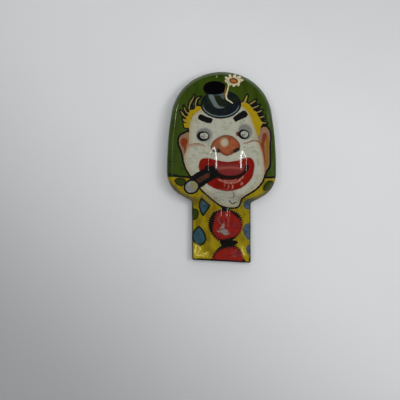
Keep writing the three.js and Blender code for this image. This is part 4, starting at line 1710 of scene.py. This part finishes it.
class SpringSteel:
    """Bright rolled spring steel with fine rolling lines and a little rust."""

    def material(self) -> bpy.types.Material:
        """Makes the material.

        Returns:
            the material.
        """
        g = Graph("spring_steel")
        lines = g.noise(0.5, 3, (6, 0.12, 1))
        rust = g.noise(2.4, 5, shift=4).ramp(0.62, 0.78)
        colour = g.mix(g.shade(Ink.STEEL.value, 0.75 + lines * 0.5), Ink.RUST_SPOT.value, rust * 0.75)
        g.bump(lines, 0.01, 0.5)
        return g.finish(
            Base_Color=colour, Metallic=1 - rust * 0.8, Roughness=0.26 + rust * 0.4 + lines * 0.12
        )


# ------------------------------------------------------------------ the pieces


@dataclass(frozen=True)
class TongueSizes:
    """Sizes of the spring tongue and of the lugs that hold it, the same as the solid part's."""

    thickness: float = 0.4
    width: float = 9.0
    bottom: float = 1.95
    tip: float = 17.0
    root_width: float = 19.0
    root_y: float = -31.0
    root_half: float = 3.0
    corner: float = 1.2
    dimple: tuple[float, float, float] = (-6.0, 3.6, 0.7)
    gap: float = 0.35
    lug_length: float = 5.0
    lug_reach: float = 7.0


@dataclass
class TinShell:
    """The stamping with its lugs, replacing the solid part's plain shell."""

    pressing: Pressing
    tongue: TongueSizes
    step: float = 0.27
    lug_lift: float = 0.004
    rim_side_y: float = 27.6
    # where the painted shade along the cut end begins
    hem_y: float = -41.6

    def _lug(self, side: int) -> tuple[Array, Array]:
        """One lug: a strip carried along a bent line, in from the rim and under the tongue's root.

        Args:
            side: 1 for the right, -1 for the left.

        Returns:
            its vertices and its quads.
        """
        p, t = self.pressing, self.tongue
        wall, tip = p.handle_width / 2 - p.sheet / 2, p.handle_width / 2 - t.lug_reach
        top = t.bottom - t.gap - p.sheet / 2
        bends = [
            (wall, 0.75), (wall - 0.25, 0.32), (wall - 0.9, 0.2), (tip + 4.2, 0.62),
            (tip + 2.4, top - 0.12), (tip + 1.2, top), (tip, top),
        ]
        line = curve(bends, 5, False)
        run = np.gradient(line, axis=0)
        normal = np.stack([-run[:, 1], run[:, 0]], 1) / np.linalg.norm(run, axis=1)[:, None]
        share = np.linspace(0, 1, len(line))
        half_y = t.lug_length / 2 - 0.9 * np.clip((share - 0.86) / 0.14, 0, 1) ** 3
        steps = np.linspace(-1, 1, 5)
        across = np.concatenate([steps, steps[::-1]])[:, None]
        face = np.repeat([1, -1], 5)[:, None, None]
        at = line + normal * face * p.sheet / 2
        place_y = t.root_y + across * half_y
        grid = np.stack([side * at[..., 0], place_y, np.maximum(at[..., 1], self.lug_lift)], 2)
        n, rows = grid.shape[:2]
        index = np.arange(n * rows).reshape(n, rows)
        quads = strip_quads(index)
        for row in (0, rows - 1):
            cap = np.array([[i, i + 1, n - 2 - i, n - 1 - i] for i in range(4)])
            quads = np.concatenate([quads, index[:, row][cap][:, :: (1 if row else -1)]])
        return grid.reshape(-1, 3), quads if side > 0 else quads[:, ::-1]

    def _add_lug(self, surface: Surface, side: int) -> None:
        """Joins one lug to the shell as bare metal.

        Args:
            surface: the shell, added to in place.
            side: 1 for the right, -1 for the left.
        """
        verts, quads = self._lug(side)
        surface.quads = np.concatenate([surface.quads, quads + len(surface.verts)])
        surface.verts = np.concatenate([surface.verts, verts])
        surface.uv = np.concatenate([surface.uv, verts[:, :2] * MAP_SCALE + MAP_INSIDE])
        for name, values in surface.values.items():
            bare = {"inside": 1.0, "depth": -2.0}.get(name, -FAR)
            surface.values[name] = np.concatenate([values, np.full(len(verts), bare)])

    def build(self) -> bpy.types.Object:
        """Builds the shell, prints it and puts it on its body.

        Returns:
            the shell.
        """
        surface, is_outer = ShellSkin(self.pressing, self.step).surface()
        for name, values in Clown(surface.verts[is_outer, :2]).fields().items():
            surface.values[name] = np.full(len(surface.verts), -FAR)
            surface.values[name][is_outer] = values
        surface.values["rim_side"] = self.rim_side_y - surface.verts[:, 1]
        # distance past the start of the painted shade along the cut end
        surface.values["hem"] = self.hem_y - surface.verts[:, 1]
        for side in (1, -1):
            self._add_lug(surface, side)
        obj = surface.build("tin_shell", 50)
        obj.data.materials.append(PrintedTin().material())
        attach(obj, "shell")
        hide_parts("face_shell")
        return obj


@dataclass
class Tongue:
    """The spring tongue: T-shaped root, long blade, rounded tip and a snap dimple."""

    t: TongueSizes
    columns: int = 36
    row_step: float = 0.4
    edge_round: float = 0.06

    def _plan(self) -> Array:
        """The outline's half: root with quarter round corners, straight blade, round tip.

        Returns:
            rows along the tongue, each its y and its half width.
        """
        t = self.t
        wide, narrow, r = t.root_width / 2, t.width / 2, t.corner
        back, front = t.root_y - t.root_half, t.root_y + t.root_half
        a = np.linspace(0, math.pi / 2, 7)
        rows = [np.stack([back + r - r * np.cos(a), wide - r + r * np.sin(a)], 1),
                np.stack([front - r + r * np.sin(a), wide - r + r * np.cos(a)], 1),
                np.stack([front + 0.01 + r * np.sin(a), narrow + r * (1 - np.sin(a))], 1)]
        start, end = front + r + self.row_step, t.tip - narrow
        y = np.arange(start, end, self.row_step)
        rows.append(np.stack([y, np.full(len(y), narrow)], 1))
        b = np.linspace(0, math.radians(84), 14)
        rows.append(np.stack([end + narrow * np.sin(b), narrow * np.cos(b)], 1))
        return np.concatenate(rows)

    @staticmethod
    def _sheet(grid: Array) -> Array:
        """Quads of an open grid of vertex numbers."""
        return np.stack([grid[:-1, :-1], grid[:-1, 1:], grid[1:, 1:], grid[1:, :-1]], -1).reshape(-1, 4)

    @staticmethod
    def _edge(upper: Array, lower: Array) -> Array:
        """Quads between two rows of vertex numbers."""
        return np.stack([upper[:-1], upper[1:], lower[1:], lower[:-1]], -1)

    def build(self) -> bpy.types.Object:
        """Builds the tongue and puts it on its body.

        The dimple lifts the strip by its depth times (1 - r^2) squared, r in dimple radii.

        Returns:
            the tongue.
        """
        t, plan, columns, soft = self.t, self._plan(), self.columns, self.edge_round
        middle, radius, deep = t.dimple
        share = np.sin(np.linspace(-math.pi / 2, math.pi / 2, columns + 1))
        x = plan[:, 1:] * share
        y = np.repeat(plan[:, :1], columns + 1, 1)
        r2 = (x**2 + (y - middle) ** 2) / radius**2
        lift = deep * np.clip(1 - r2, 0, 1) ** 2
        edge = np.minimum(plan[:, 1:] - np.abs(x), soft)
        round_off = soft - np.sqrt(np.clip(soft**2 - (soft - edge) ** 2, 0, None))
        top = np.stack([x, y, t.bottom + t.thickness + lift - round_off], 2)
        low = np.stack([x, y, t.bottom + lift + round_off], 2)
        n, m = x.shape
        a = np.arange(n * m).reshape(n, m)
        b = a + n * m
        quads = np.concatenate([
            self._sheet(a),
            self._sheet(b)[:, ::-1],
            self._edge(a[:, -1], b[:, -1])[:, ::-1],
            self._edge(a[:, 0], b[:, 0]),
            self._edge(a[0], b[0])[:, ::-1],
            self._edge(a[-1], b[-1]),
        ])
        surface = Surface(np.concatenate([top.reshape(-1, 3), low.reshape(-1, 3)]), quads)
        obj = surface.build("spring_tongue", 40)
        obj.data.materials.append(SpringSteel().material())
        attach(obj, "tongue")
        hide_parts("click_tongue")
        return obj


# ------------------------------------------------------------------ the studio


@dataclass(frozen=True)
class Lamp:
    """A soft rectangular lamp, in millimetres, pointing at a place; its long side lies along Y."""

    name: str
    place: tuple[float, float, float]
    target: tuple[float, float, float]
    size: tuple[float, float]
    radiance: float
    mirrored: bool = True

    def build(self) -> None:
        """Adds the lamp. Its power is radiance times pi times area."""
        data = bpy.data.lights.new(self.name, "AREA")
        data.shape, data.size, data.size_y = "RECTANGLE", self.size[0] * MM, self.size[1] * MM
        data.energy = self.radiance * math.pi * data.size * data.size_y
        lamp = bpy.data.objects.new(self.name, data)
        lamp.visible_glossy = self.mirrored
        back = Vector(self.place) - Vector(self.target)
        back.normalize()
        side = Vector((0, 1, 0)).cross(back).normalized()
        turned = Matrix((side, back.cross(side), back)).transposed().to_4x4()
        lamp.matrix_world = Matrix.Translation(Vector(self.place) * MM) @ turned
        bpy.context.scene.collection.objects.link(lamp)


class Studio:
    """Pale floor, soft lamps and a camera looking straight down."""

    AIM = (-9.89, -14.86)
    DISTANCE = 288.9
    FIELD_OF_VIEW = 36.0
    FLOOR_HALF = 900.0
    FLOOR_DROP = 0.02

    def floor(self) -> None:
        """A large pale, faintly uneven board, with painted shade toward the near left and the far right."""
        size, below = self.FLOOR_HALF, -self.FLOOR_DROP
        corners = [(-size, -size, below), (size, -size, below), (size, size, below), (-size, size, below)]
        verts = np.array(corners, float)
        obj = Surface(verts, np.array([[0, 1, 2, 3]])).build("floor")
        g = Graph("floor_board")
        colour = g.mix((0.76, 0.77, 0.785), (0.72, 0.73, 0.745), g.noise(60, 2))
        # painted shade: the board darkens toward the near left and a little toward the far right
        near = g.along((-0.62, -0.78)).ramp(0.0, 150.0) * g.along((0.62, 0.78)).ramp(-700.0, -250.0)
        far = g.along((0.5, 0.87)).ramp(40.0, 110.0)
        colour = g.shade(colour, 1 - near * 0.45 - far * 0.10)
        obj.data.materials.append(g.finish(Base_Color=colour, Roughness=0.6, Specular_IOR_Level=0.2))

    def world(self) -> None:
        """Pale walls all round, brighter to the right, and dark straight above."""
        world = bpy.data.worlds.new("surround")
        world.use_nodes = True
        nodes = Nodes(world.node_tree)
        where = nodes.node("ShaderNodeTexCoord").outputs["Generated"]
        split = nodes.node("ShaderNodeSeparateXYZ", Vector=where)
        x, y, z = (Value(nodes, socket) for socket in split.outputs)
        walls = 1 - z.ramp(0.50, 0.74)
        glow = (0.34 + x * 0.04 + y.largest(0.0) ** 2 * 1.1) * walls + 0.006
        back = nodes.tree.nodes["Background"]
        nodes.put(back.inputs["Color"], (0.97, 0.985, 1.0))
        nodes.put(back.inputs["Strength"], glow)
        bpy.context.scene.world = world

    def lamps(self) -> None:
        """Key from the right, fill, sky, and two tall strips whose reflections line the bulges."""
        Lamp("key", (255, 25, 390), (0, 0, 0), (200, 200), 3.5, False).build()
        Lamp("fill", (25, -10, 360), (25, -10, 0), (280, 280), 1.62, False).build()
        Lamp("sky", (0, 0, 1500), (0, 0, 0), (2600, 2600), 0.17, False).build()
        Lamp("strip_left", (-205, 78, 470), (0, 0, 0), (14, 225), 22).build()
        Lamp("strip_right", (345, 78, 470), (0, 0, 0), (14, 225), 30).build()

    def camera(self) -> None:
        """The main camera."""
        data = bpy.data.cameras.new("camera")
        data.sensor_width = 36.0
        data.lens = 18.0 / math.tan(math.radians(self.FIELD_OF_VIEW / 2))
        data.clip_start, data.clip_end = 0.01, 10.0
        camera = bpy.data.objects.new("camera", data)
        camera.location = (self.AIM[0] * MM, self.AIM[1] * MM, self.DISTANCE * MM)
        bpy.context.scene.collection.objects.link(camera)
        bpy.context.scene.camera = camera

    def build(self) -> None:
        """Everything that isn't the object."""
        self.floor()
        self.world()
        self.lamps()
        self.camera()
        bpy.context.scene.view_settings.view_transform = "Standard"


def main() -> None:
    """Builds the clicker in its studio."""
    logging.basicConfig(level=logging.INFO, format="%(name)s: %(message)s")
    sizes = TongueSizes()
    TinShell(Pressing(), sizes).build()
    Tongue(sizes).build()
    Studio().build()


if __name__ == "__main__":
    main()
